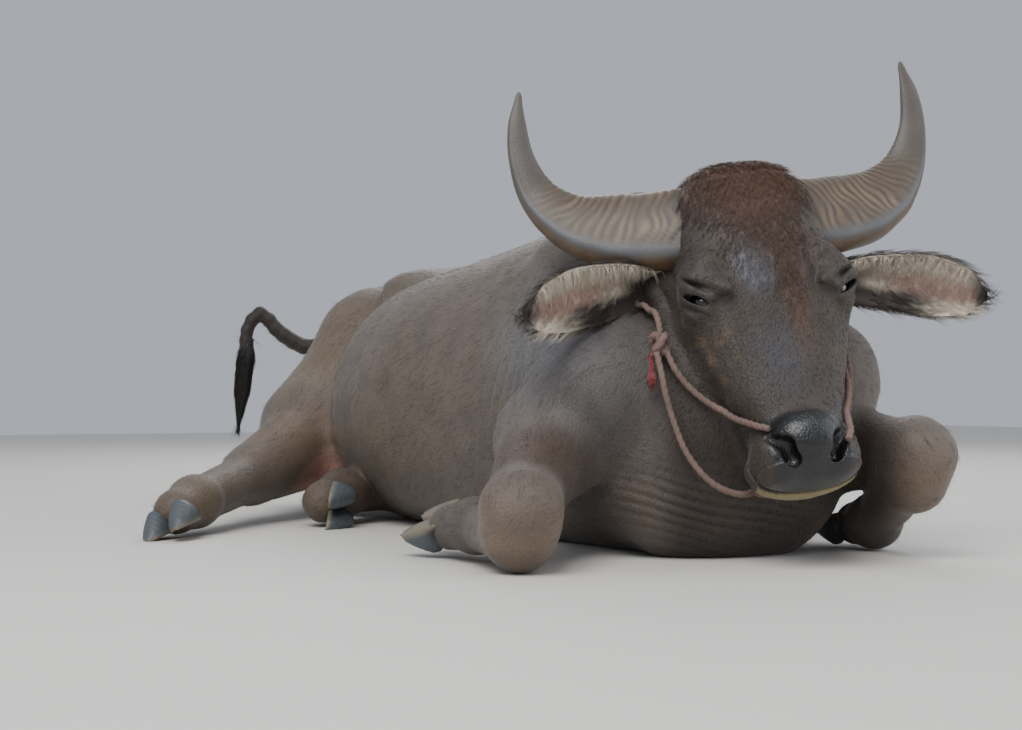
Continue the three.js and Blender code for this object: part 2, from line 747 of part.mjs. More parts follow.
/** A tube along a curve with a round section of many flat sides. */
function tube(points, radius, sides = 10, steps = 24) {
  const section = new THREE.Shape().absarc(0, 0, radius, 0, 2 * Math.PI);
  const outline = new THREE.Shape(section.getPoints(sides).slice(0, -1));
  const curve = new THREE.CatmullRomCurve3(points);
  return solidFrom(new THREE.ExtrudeGeometry(outline, { steps, extrudePath: curve, bevelEnabled: false }));
}

const TAIL_PATH = [
  TAIL_ROOT.clone().add(at(22, -40, -8)), TAIL_ROOT, at(-104, 1420, 398), at(-186, 1468, 352),
  at(-250, 1490, 384), at(-296, 1503, 430), at(-322, 1511, 402), at(-330, 1514, 330), at(-332, 1515, 290),
];

/** The bare tail: an arch that thins as it falls. */
function tailSolid() {
  const core = new THREE.CatmullRomCurve3(TAIL_PATH);
  const rings = [];
  const steps = 20;
  for (let i = 0; i <= steps; i++) {
    const t = i / steps;
    const p = core.getPoint(t);
    const along = core.getTangent(t);
    const wide = along.clone().cross(at(0.3, -0.9, 0.1)).normalize();
    const thick = along.clone().cross(wide);
    const radius = THREE.MathUtils.lerp(27, 14, t ** 0.8);
    const ring = [];
    for (let k = 0; k < 8; k++) {
      const a = (2 * Math.PI * k) / 8;
      const rim = p.clone().addScaledVector(wide, radius * Math.cos(a));
      ring.push(rim.addScaledVector(thick, radius * Math.sin(a)));
    }
    rings.push(ring);
  }
  return ringed(rings);
}

/** The switch: flat tapered locks round the tail's end, fused to a short core. */
function switchSolid() {
  const top = TAIL_PATH[TAIL_PATH.length - 1];
  const down = at(-0.09, 0.05, -1).normalize();
  let all = ringed([
    hexagon(top.clone().addScaledVector(down, 3), 13),
    hexagon(top.clone().addScaledVector(down, 60), 11),
    hexagon(top.clone().addScaledVector(down, 104), 4),
  ]);
  const count = 7;
  for (let i = 0; i < count; i++) {
    const turn = i * 2.4;
    const start = 8 + 66 * (i / count);
    const length = 76 + 18 * Math.cos(i * 1.7);
    const away = at(Math.cos(turn), Math.sin(turn), 0);
    const beside = at(-Math.sin(turn), Math.cos(turn), 0);
    const rings = [];
    for (let j = 0; j <= 3; j++) {
      const t = j / 3;
      const spread = 5 + 5 * Math.sin(Math.PI * t) * (1 - t * 0.4);
      const p = top.clone().addScaledVector(down, start + length * t).addScaledVector(away, spread);
      const wide = 8.5 * (1 - t) ** 0.6 + 0.8;
      const thick = 3.2 * (1 - t) ** 0.5 + 0.5;
      rings.push([
        p.clone().addScaledVector(beside, wide), p.clone().addScaledVector(away, thick),
        p.clone().addScaledVector(beside, -wide), p.clone().addScaledVector(away, -thick),
      ]);
    }
    all = all.add(ringed(rings));
  }
  return largest(all);
}

function hexagon(centre, radius) {
  return [0, 1, 2, 3, 4, 5].map((k) => {
    const a = (Math.PI * k) / 3;
    return centre.clone().add(at(radius * Math.cos(a), radius * Math.sin(a), 0));
  });
}

// Halter

/** A path through points of the world, set on the body's skin with the rope clear of it. */
function roped(points, off) {
  const path = new THREE.CatmullRomCurve3(points).getPoints(points.length * 2);
  return path.map((p) => settled(body, p, off, 30, 8));
}

const CREST = headPoint(0, -50, -290);
const KNOT = at(-184, -80, 316);
const CHEEK_ROPE = {
  right: [
    at(-93, -229, 186), at(-102, -199, 199), at(-108, -155, 211), at(-121, -123, 225), at(-145, -105, 247),
    at(-167, -95, 277), KNOT.clone().add(at(8, 0, -4)),
  ],
  left: [
    headPoint(47, 432, -4), headPoint(61, 392, -36), headPoint(78, 362, -60), headPoint(95, 332, -84),
    headPoint(108, 300, -102), headPoint(114, 268, -114), headPoint(120, 232, -124),
    headPoint(124, 190, -136),
    headPoint(134, 140, -176), headPoint(124, 60, -270), headPoint(60, -20, -300), CREST,
  ],
};
const HEADSTALL = [
  KNOT, at(-173, -65, 334), at(-165, -38, 360), headPoint(-160, 120, -190), headPoint(-120, 50, -270),
  headPoint(-60, -20, -300), CREST,
];

const NECK_LOOP = [
  at(-190, -84, 300), at(-189, -94, 272), at(-185, -98, 244), at(-173, -101, 203), at(-160, -115, 158),
  at(-136, -133, 121), at(-112, -142, 106), at(-86, -146, 100), at(-50, -126, 104), at(0, -116, 110),
  at(50, -108, 122), at(84, -98, 146), at(96, -84, 200), at(108, -64, 260), at(120, -52, 310),
];

// Assembly

const root = new THREE.Group();
const headGroup = new THREE.Group();
headGroup.position.copy(CROWN);
headGroup.rotation.copy(HEAD_TURN);
root.add(headGroup);

const show = (name, solid, colour, roughness = 0.7) => root.add(piece(name, solid, colour, roughness));
const showOnHead = (name, solid, colour, roughness = 0.7) =>
  headGroup.add(piece(name, solid, colour, roughness));

const whole = fullHead();
const head = hollowed(whole);
const headClear = grown(whole);
const headClearWorld = headClear.transform(headFrame.elements);

show("torso", trunk, HIDE);
show("neck", neck, HIDE);
showOnHead("head", head, HIDE);

const worldToHead = headFrame.clone().invert().elements;
const neckLocal = neckClear.transform(worldToHead);
const trunkLocal = trunkClear.transform(worldToHead);
for (const side of Object.keys(SIDES)) {
  showOnHead("horn_" + side, less(hornSolid(side), headClear, neckLocal), HORN_COLOUR, 0.55);
  const ear = less(earSolid(side), headClear, neckLocal, trunkLocal, hornSolid(side, GAP * 2));
  showOnHead("ear_" + side, ear, HIDE);
  showOnHead("eye_" + side, solidFrom(eyeShape(EYE_RADIUS), eyePlace(side)), EYE_COLOUR, 0.15);
}

/** The box round some points, grown all round. */
function around(points, margin) {
  const box = new THREE.Box3().setFromPoints(points).expandByScalar(margin);
  return [box.min, box.max];
}

/** Adds one foot: its claws cut clear of the leg that carries them. */
function addFoot(name, legClear, heel, toe, sole, others = []) {
  const pair = claws(heel, toe, sole);
  ["inner", "outer"].forEach((which, i) => {
    show(`${name}_claw_${which}`, onFloor(less(pair[i], legClear, ...others)), HOOF_COLOUR, 0.5);
  });
}

const trunkKeep = [trunkClear, neckClear, headClearWorld];

for (const side of Object.keys(SIDES)) {
  const [low, high] = around([ELBOW[side], KNEE[side]], 110);
  const upper = onFloor(skin(forearm(side), low, high, 28));
  show(`foreleg_${side}_upper`, less(upper, ...trunkKeep), HIDE_TAN);
  const top = KNEE[side].clone().add(at(-2, 16, -22));
  const shape = cannon(top, FORE_FETLOCK[side], FORE_PASTERN[side], 42);
  const [lowFoot, highFoot] = around([top, FORE_FETLOCK[side], FORE_PASTERN[side]], 66);
  const lower = onFloor(skin(shape, lowFoot, highFoot, 21));
  show(`foreleg_${side}_lower`, less(lower, grown(upper), ...trunkKeep), HIDE);
  const right = side === "right";
  addFoot(
    `foreleg_${side}`,
    grown(lower),
    FORE_PASTERN[side].clone().add(right ? at(-8, 2, 22) : at(-2, 2, 20)),
    right ? at(-0.3, 0.92, -0.26) : at(0.1, 0.95, -0.28),
    right ? at(-0.55, 0.1, 0.83) : at(-0.05, 0.3, 0.95),
    trunkKeep,
  );
}

const haunchBox = {
  right: [at(-640, 760, -40), at(90, 1440, 520)],
  left: [at(30, 780, -90), at(470, 1360, 420)],
};
const haunches = Object.fromEntries(
  Object.keys(SIDES).map((side) => [side, onFloor(skin(thigh(side), ...haunchBox[side], 52))]),
);
const haunchClear = grown(haunches.right);

for (const side of Object.keys(SIDES)) {
  show(`hindleg_${side}_upper`, less(haunches[side], trunkClear), HIDE_TAN);
  const shape = cannon(HOCK[side], HIND_FETLOCK[side], HIND_PASTERN[side], 47);
  const [low, high] = around([HOCK[side], HIND_FETLOCK[side], HIND_PASTERN[side]], 70);
  const lower = onFloor(skin(shape, low, high, 24));
  const keep = side === "right" ? [haunchClear, trunkClear] : [trunkClear];
  show(`hindleg_${side}_lower`, less(lower, ...keep), HIDE_TAN);
  const right = side === "right";
  addFoot(
    `hindleg_${side}`,
    grown(lower),
    HIND_PASTERN[side].clone().add(right ? at(10, -8, -26) : at(14, -6, 2)),
    right ? at(-0.6, -0.72, -0.12) : at(-0.42, -0.86, -0.3),
    right ? at(0.25, -0.3, -0.92) : at(-0.8, 0.35, 0.1),
    [trunkClear],
  );
}

show("tail", less(tailSolid(), trunkClear, haunchClear), HIDE);
show("tail_switch", switchSolid(), EYE_COLOUR);

const ropeKeep = [headClearWorld, neckClear, trunkClear];
for (const side of Object.keys(SIDES)) {
  ropeKeep.push(hornSolid(side, 1).transform(headFrame.elements));
  ropeKeep.push(earSolid(side).transform(headFrame.elements));
}
const knotCentre = settled(body, KNOT, 11, 30, 8);
const knotShape = (grow) =>
  solidFrom(
    new THREE.SphereGeometry(1, 10, 6),
    new THREE.Matrix4().makeScale(11 + grow, 12 + grow, 17 + grow).setPosition(knotCentre),
  );
const rope = (points, off, steps) =>
  less(tube(roped(points, ROPE_RADIUS + off), ROPE_RADIUS, 8, steps), ...ropeKeep, knotShape(GAP));
const headstall = rope(HEADSTALL, 6, 13);
show("halter_rope_right", rope(CHEEK_ROPE.right, 6, 10), ROPE_COLOUR, 0.9);
show("halter_headstall", headstall, ROPE_COLOUR, 0.9);
show("halter_rope_left", less(rope(CHEEK_ROPE.left, 6, 18), grown(headstall)), ROPE_COLOUR, 0.9);
show("halter_knot", less(knotShape(0), ...ropeKeep), ROPE_COLOUR, 0.9);
const loop = rope(NECK_LOOP, 10, 20);
show("halter_neck_loop", loop, ROPE_COLOUR, 0.9);
const tassel = ringed(
  [[0, 6], [0.25, 9], [0.7, 10], [1, 5]].map(([t, radius]) => {
    const centre = knotCentre.clone().add(at(-15, -2, -14 - 46 * t));
    return hexagon(settled(body, centre, 15, 8, 6).setZ(centre.z), radius);
  }),
);
show("halter_tassel", less(tassel, ...ropeKeep, knotShape(GAP), grown(loop)), TASSEL_COLOUR, 0.9);

export default root;
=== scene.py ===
"""Looks for a water buffalo that rests on its breastbone in a rope halter, head up."""

import logging
import math
from dataclasses import dataclass, field
from enum import Enum
from typing import Callable, Sequence

import bmesh
import bpy
import numpy as np
from mathutils import Matrix


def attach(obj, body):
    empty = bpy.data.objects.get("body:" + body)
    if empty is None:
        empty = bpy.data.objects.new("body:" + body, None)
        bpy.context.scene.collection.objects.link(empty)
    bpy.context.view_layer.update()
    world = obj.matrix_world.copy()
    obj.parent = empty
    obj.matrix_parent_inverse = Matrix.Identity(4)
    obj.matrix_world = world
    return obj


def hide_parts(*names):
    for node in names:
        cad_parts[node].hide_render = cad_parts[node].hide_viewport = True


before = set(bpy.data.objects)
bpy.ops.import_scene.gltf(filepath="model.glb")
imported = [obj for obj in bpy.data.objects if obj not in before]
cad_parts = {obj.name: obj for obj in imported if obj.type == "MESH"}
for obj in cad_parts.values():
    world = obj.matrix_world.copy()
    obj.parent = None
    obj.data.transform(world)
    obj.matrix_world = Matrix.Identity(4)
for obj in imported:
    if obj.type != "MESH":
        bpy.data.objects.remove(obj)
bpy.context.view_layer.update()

LOG = logging.getLogger("buffalo")
MM = 0.001
TURN = 2 * math.pi
BODY = "root"
LIMB_SIZES = 4
WET_ROUGHNESS = 0.34
# Share of the unwrapped map that one tuft takes up
PATCH_SIZE = 0.003
Field = Callable[[np.ndarray], np.ndarray]


# Numbers and fields: distances in millimetres, negative inside


def vec(*values: float) -> np.ndarray:
    """The values as one array of floats."""
    return np.array(values, float)


def unit(v: np.ndarray) -> np.ndarray:
    """The vector at length one."""
    return v / np.linalg.norm(v)


def step(low: float, high: float, x: np.ndarray) -> np.ndarray:
    """A smooth step from 0 at low to 1 at high, which may lie either way round."""
    t = np.clip((x - low) / (high - low), 0, 1)
    return t * t * (3 - 2 * t)


def near(points: np.ndarray, centre: Sequence[float], reach: Sequence[float] | float) -> np.ndarray:
    """A soft mask: 1 at a centre, 0 from the given reach outwards.

    Args:
        points: The places asked about, one to a row.
        centre: The middle of the mask.
        reach: Its half size, one number or one for each axis.

    Returns:
        One number from 0 to 1 for each point.
    """
    r = np.linalg.norm((points - np.asarray(centre, float)) / np.asarray(reach, float), axis=1)
    return step(1.0, 0.0, r)


def smooth(a: np.ndarray, b: np.ndarray, fillet: float) -> np.ndarray:
    """The lower of two fields with a fillet where they meet."""
    h = np.maximum(fillet - np.abs(a - b), 0.0)
    return np.minimum(a, b) - h * h / (4.0 * fillet)


def pressed(a: np.ndarray, hollow: np.ndarray, fillet: float) -> np.ndarray:
    """A field less a hollow, with a fillet round its edge."""
    return -smooth(-a, hollow, fillet)


def limb(p: np.ndarray, a: np.ndarray, b: np.ndarray, start: float, end: float) -> np.ndarray:
    """The field of two balls and the cone that wraps them.

    Args:
        p: Places asked about.
        a: Centre of the first ball.
        b: Centre of the second ball.
        start: Radius of the first ball.
        end: Radius of the second ball.

    Returns:
        The distance at each place.
    """
    ba = b - a
    square = ba @ ba
    taper = start - end
    slope = square - taper * taper
    pa = p - a
    y = pa @ ba
    z = y - square
    t = pa * square - y[:, None] * ba
    x2 = np.einsum("ij,ij->i", t, t)
    y2, z2 = y * y * square, z * z * square
    k = np.sign(taper) * taper * taper * x2
    d = (np.sqrt(x2 * slope / square) + y * taper) / square - start
    d = np.where(np.sign(y) * slope * y2 < k, np.sqrt(x2 + y2) / square - start, d)
    return np.where(np.sign(z) * slope * z2 > k, np.sqrt(x2 + z2) / square - end, d)


def mass(p: np.ndarray, centre: np.ndarray, half: Sequence[float], turn: np.ndarray | None = None) -> np.ndarray:
    """The field of an ellipsoid.

    Args:
        p: Places asked about.
        centre: Its centre.
        half: Its half sizes.
        turn: Its own axes as rows, or None where they are those of the frame.

    Returns:
        About the distance at each place.
    """
    q = p - centre
    if turn is not None:
        q = q @ turn.T
    r = np.asarray(half, float)
    k0 = np.linalg.norm(q / r, axis=1)
    k1 = np.linalg.norm(q / (r * r), axis=1) + 1e-9
    return np.where(k0 < 1e-6, -r.min(), k0 * (k0 - 1.0) / k1)


def through(xs: np.ndarray, ys: np.ndarray, x: np.ndarray) -> np.ndarray:
    """A smooth curve through stations with no overshoot, read at x."""
    d = np.diff(ys) / np.diff(xs)
    m = np.zeros_like(ys)
    both = d[:-1] * d[1:]
    m[1:-1] = np.where(both > 0, 2 * both / (d[:-1] + d[1:] + 1e-12), 0.0)
    x = np.clip(x, xs[0], xs[-1])
    i = np.clip(np.searchsorted(xs, x) - 1, 0, len(xs) - 2)
    h = xs[i + 1] - xs[i]
    t = (x - xs[i]) / h
    w = 1 - t
    ends = (1 + 2 * t) * w * w * ys[i] + t * t * (3 - 2 * t) * ys[i + 1]
    return ends + t * w * w * h * m[i] - t * t * w * h * m[i + 1]


def joined(f: np.ndarray, p: np.ndarray, rows: Sequence[tuple]) -> np.ndarray:
    """A field with round limbs and ellipsoids joined on.

    Args:
        f: The field so far.
        p: Places asked about.
        rows: For each limb its two ends, two radii and fillet; for each ellipsoid its centre, half sizes and fillet.

    Returns:
        The joined field.
    """
    for *form, fillet in rows:
        f = smooth(f, (limb if len(form) == LIMB_SIZES else mass)(p, *form), fillet)
    return f


def loft(p: np.ndarray, stations: np.ndarray, caps: tuple[float, float]) -> np.ndarray:
    """A body lofted through stations whose upper and lower halves are superellipses.

    Args:
        p: Places as columns along, side and up.
        stations: Rows of along, middle, right, left, top, bottom, waist, crown and keel.
        caps: How far the rounded ends reach past the first and last station.

    Returns:
        About the distance at each place.
    """
    along, side, up = p.T
    xs = stations[:, 0]
    t = np.clip(along, xs[0], xs[-1])
    middle, right, left, top, bottom, waist, crown, keel = (through(xs, col, t) for col in stations.T[1:])
    dx, dz = side - middle, up - waist
    half = np.where(dx < 0, right, left)
    height = np.where(dz > 0, top - waist, waist - bottom)
    power = np.where(dz > 0, crown, keel)
    q = ((np.abs(dx) / half + 1e-9) ** power + (np.abs(dz) / height + 1e-9) ** power) ** (1 / power)
    over = np.maximum((xs[0] - along) / caps[0], 0) + np.maximum((along - xs[-1]) / caps[1], 0)
    least = np.minimum(half, height)
    radial = np.where(q < 1e-3, least, np.hypot(dx, dz) / np.maximum(q, 1e-6))
    scale = np.where(over > 0, np.minimum(least, min(caps)), np.minimum(radial, least * 1.3))
    return (np.hypot(q, over) - 1.0) * scale


def ripple(p: np.ndarray, size: float, seed: int) -> np.ndarray:
    """Soft unevenness between -1 and 1 whose lumps are about the given size in millimetres."""
    draw = np.random.default_rng(seed)
    total = np.zeros(len(p))
    for _ in range(7):
        way = unit(draw.normal(size=3)) * (TURN / size) * draw.uniform(0.6, 1.4)
        total += np.sin(p @ way + draw.uniform(0, 6.28))
    return total / 3.5


def gradient(shape: Field, p: np.ndarray, reach: float = 0.5) -> np.ndarray:
    """The gradient of a field at each point."""
    steps = np.eye(3) * reach
    return np.stack([(shape(p + s) - shape(p - s)) / (2 * reach) for s in steps], 1)


def settled(shape: Field, p: np.ndarray, value: float = 0.0, reach: float = 6.0, rounds: int = 3) -> np.ndarray:
    """Points moved along the gradient to where the field has a value.

    Args:
        shape: The field.
        p: The points to move.
        value: The value wanted.
        reach: The longest move in one round.
        rounds: How many rounds.

    Returns:
        The moved points.
    """
    for _ in range(rounds):
        g = gradient(shape, p)
        move = g * ((shape(p) - value) / ((g * g).sum(1) + 1e-6))[:, None]
        length = np.linalg.norm(move, axis=1)
        p = p - move * np.minimum(1, reach / np.maximum(length, 1e-9))[:, None]
    return p


def polygonised(shape: Field, *lines: np.ndarray) -> tuple[np.ndarray, np.ndarray]:
    """The zero surface of a field as quads, one vertex to each cell that it crosses.

    Args:
        shape: The field, near enough a distance for a coarse first pass.
        *lines: Where the grid's lines stand along x, y and z.

    Returns:
        Vertices and quads.
    """
    n = [len(line) for line in lines]
    coarse = 4
    rough_lines = [line[np.minimum(np.arange(0, len(line) + coarse - 1, coarse), len(line) - 1)] for line in lines]
    count = [len(line) for line in rough_lines]
    gaps = [np.maximum(np.gradient(line), 1e-3) for line in rough_lines]
    reach = np.maximum(np.maximum(gaps[0][:, None, None], gaps[1][None, :, None]), gaps[2][None, None, :]) * 1.6
    grid = np.stack(np.meshgrid(*rough_lines, indexing="ij"), -1).reshape(-1, 3)
    rough = shape(grid).reshape(count)
    pick = [np.minimum((np.arange(n[i]) + coarse // 2) // coarse, count[i] - 1) for i in range(3)]
    values = rough[np.ix_(*pick)].astype(np.float32)
    close = (np.abs(rough) < reach)[np.ix_(*pick)]
    where = np.argwhere(close)
    fine = np.empty(len(where), np.float32)
    for i in range(0, len(where), 200000):
        part = where[i : i + 200000]
        fine[i : i + 200000] = shape(np.stack([lines[k][part[:, k]] for k in range(3)], 1))
    values[close] = np.where(fine == 0, 1e-6, fine)
    inside = values < 0
    corners = [(i, j, k) for i in (0, 1) for j in (0, 1) for k in (0, 1)]
    shifted = [inside[tuple(slice(o, m - 1 + o) for o, m in zip(c, n))] for c in corners]
    active = np.logical_or.reduce(shifted) & ~np.logical_and.reduce(shifted)
    cells = np.argwhere(active)
    index = -np.ones([k - 1 for k in n], np.int64)
    index[tuple(cells.T)] = np.arange(len(cells))
    total, hits = np.zeros((len(cells), 3)), np.zeros(len(cells))
    at = {c: values[tuple((cells + c).T)].astype(float) for c in corners}
    for axis in range(3):
        for c in corners:
            if c[axis]:
                continue
            other = tuple(1 if i == axis else c[i] for i in range(3))
            a, b = at[c], at[other]
            crossed = (a < 0) != (b < 0)
            place = np.repeat(vec(*c)[None], len(cells), 0)
            place[:, axis] += np.where(crossed, a / np.where(crossed, a - b, 1), 0)
            total += place * crossed[:, None]
            hits += crossed
    share = total / hits[:, None]
    vertices = np.stack(
        [lines[k][cells[:, k]] * (1 - share[:, k]) + lines[k][cells[:, k] + 1] * share[:, k] for k in range(3)], 1
    )
    quads = []
    for axis in range(3):
        b, c = (axis + 1) % 3, (axis + 2) % 3
        start = [slice(1, n[i] - 1) for i in range(3)]
        start[axis] = slice(0, n[axis] - 1)
        end = list(start)
        end[axis] = slice(1, n[axis])
        offset = np.ones(3, int)
        offset[axis] = 0
        edge = np.argwhere(inside[tuple(start)] != inside[tuple(end)]) + offset
        outward = inside[tuple(edge.T)]
        db, dc = np.eye(3, dtype=int)[b], np.eye(3, dtype=int)[c]
        quad = np.stack([index[tuple((edge - x).T)] for x in (db + dc, dc, 0 * db, db)], 1)
        quad[~outward] = quad[~outward][:, ::-1]
        quads.append(quad)
    faces = np.concatenate(quads)
    return vertices, faces[(faces >= 0).all(1)]


# The animal's form, the same sizes as the solids


def turned(axis: int, degrees: float) -> np.ndarray:
    """The matrix of a turn about one axis."""
    return np.array(Matrix.Rotation(math.radians(degrees), 3, "XYZ"[axis]))


CROWN = vec(-32, -70, 557)
HEAD_AXES = turned(2, -19) @ turned(1, -6) @ turned(0, 152)
EYE = vec(96, -22, 192)
EYE_RADIUS = 19.0
TAIL_GIRTH = (27, 14)
SIDES = {"right": -1, "left": 1}


def on_head(across: float, down: float, out: float) -> np.ndarray:
    """A place in the head's frame: across to its left, out of the forehead, down to the muzzle."""
    return vec(across, out, down)


def head_point(across: float, down: float, out: float) -> np.ndarray:
    """The same place in the frame of the whole animal."""
    return CROWN + HEAD_AXES @ on_head(across, down, out)


def to_head(p: np.ndarray) -> np.ndarray:
    """Points of the animal's frame in the head's frame."""
    return (p - CROWN) @ HEAD_AXES


def one_sided(q: np.ndarray) -> np.ndarray:
    """Points of the head's frame with its right half laid over its left."""
    return np.column_stack([np.abs(q[:, 0]), q[:, 1:]])


@dataclass(frozen=True)
class Leg:
    """The joints of one leg as it lies folded, from the trunk to the pastern."""

    side: str
    root: np.ndarray
    knee: np.ndarray
    fetlock: np.ndarray
    pastern: np.ndarray
    heel: np.ndarray
    toe: np.ndarray
    sole: np.ndarray


FORE = {
    "right": Leg("right", vec(-262, 100, 170), vec(-412, -98, 74), vec(-400, 66, 52), vec(-415, 124, 46),
                 vec(-8, 2, 22), vec(-0.3, 0.92, -0.26), vec(-0.55, 0.1, 0.83)),
    "left": Leg("left", vec(225, 110, 160), vec(186, -190, 140), vec(218, -58, 44), vec(226, -6, 38),
                vec(-2, 2, 20), vec(0.1, 0.95, -0.28), vec(-0.05, 0.3, 0.95)),
}
HIP = {"right": vec(-110, 1200, 330), "left": vec(210, 1180, 230)}
HIND = {
    "right": Leg("right", vec(-300, 1010, 165), vec(-515, 830, 88), vec(-660, 668, 56), vec(-702, 622, 44),
                 vec(10, -8, -26), vec(-0.6, -0.72, -0.12), vec(0.25, -0.3, -0.92)),
    "left": Leg("left", vec(318, 930, 120), vec(-180, 880, 62), vec(-362, 750, 58), vec(-412, 712, 46),
                vec(14, -6, 2), vec(-0.42, -0.86, -0.3), vec(-0.8, 0.35, 0.1)),
}

TRUNK = np.array([
    [20, -8, 225, 220, 400, -12, 205, 2.2, 2.4],
    [150, 0, 262, 248, 508, -22, 225, 2.1, 2.4],
    [300, 4, 285, 270, 548, -26, 235, 2.0, 2.5],
    [480, 2, 325, 312, 526, -28, 235, 2.05, 2.5],
    [660, 4, 362, 338, 505, -30, 225, 2.1, 2.5],
    [820, 14, 366, 336, 499, -30, 222, 2.1, 2.5],
    [960, 40, 330, 318, 505, -26, 230, 2.0, 2.4],
    [1100, 62, 262, 296, 508, -10, 250, 1.9, 2.3],
    [1220, 70, 205, 250, 498, 5, 262, 1.85, 2.2],
    [1300, 64, 150, 188, 470, 40, 266, 1.9, 2.1],
])
SKULL = np.array([
    [-20, 0, 86, 86, -22, -150, -75, 2.2, 2.0],
    [30, 0, 106, 106, 0, -178, -62, 2.5, 2.0],
    [90, 0, 113, 113, 14, -212, -58, 2.6, 1.9],
    [150, 0, 114, 114, 18, -236, -52, 2.6, 1.8],
    [200, 0, 112, 112, 10, -236, -52, 2.6, 1.75],
    [260, 0, 98, 98, -2, -212, -56, 2.5, 1.8],
    [320, 0, 80, 80, -9, -184, -60, 2.4, 1.9],
    [380, 0, 68, 68, -11, -160, -64, 2.3, 2.0],
    [415, 0, 64, 64, -12, -146, -66, 2.3, 2.1],
    [450, 0, 60, 60, -22, -138, -70, 2.3, 2.1],
])
# Axes of the eye slit on the left: towards the nose, up the lid and out of the eye
OUTWARD = unit(vec(0.72, 0.69, 0.0))
INWARD = vec(-0.5, 0.55, 0.66)
INWARD = unit(INWARD - OUTWARD * (INWARD @ OUTWARD))
SLIT_AXES = np.array([INWARD, np.cross(INWARD, OUTWARD), OUTWARD])


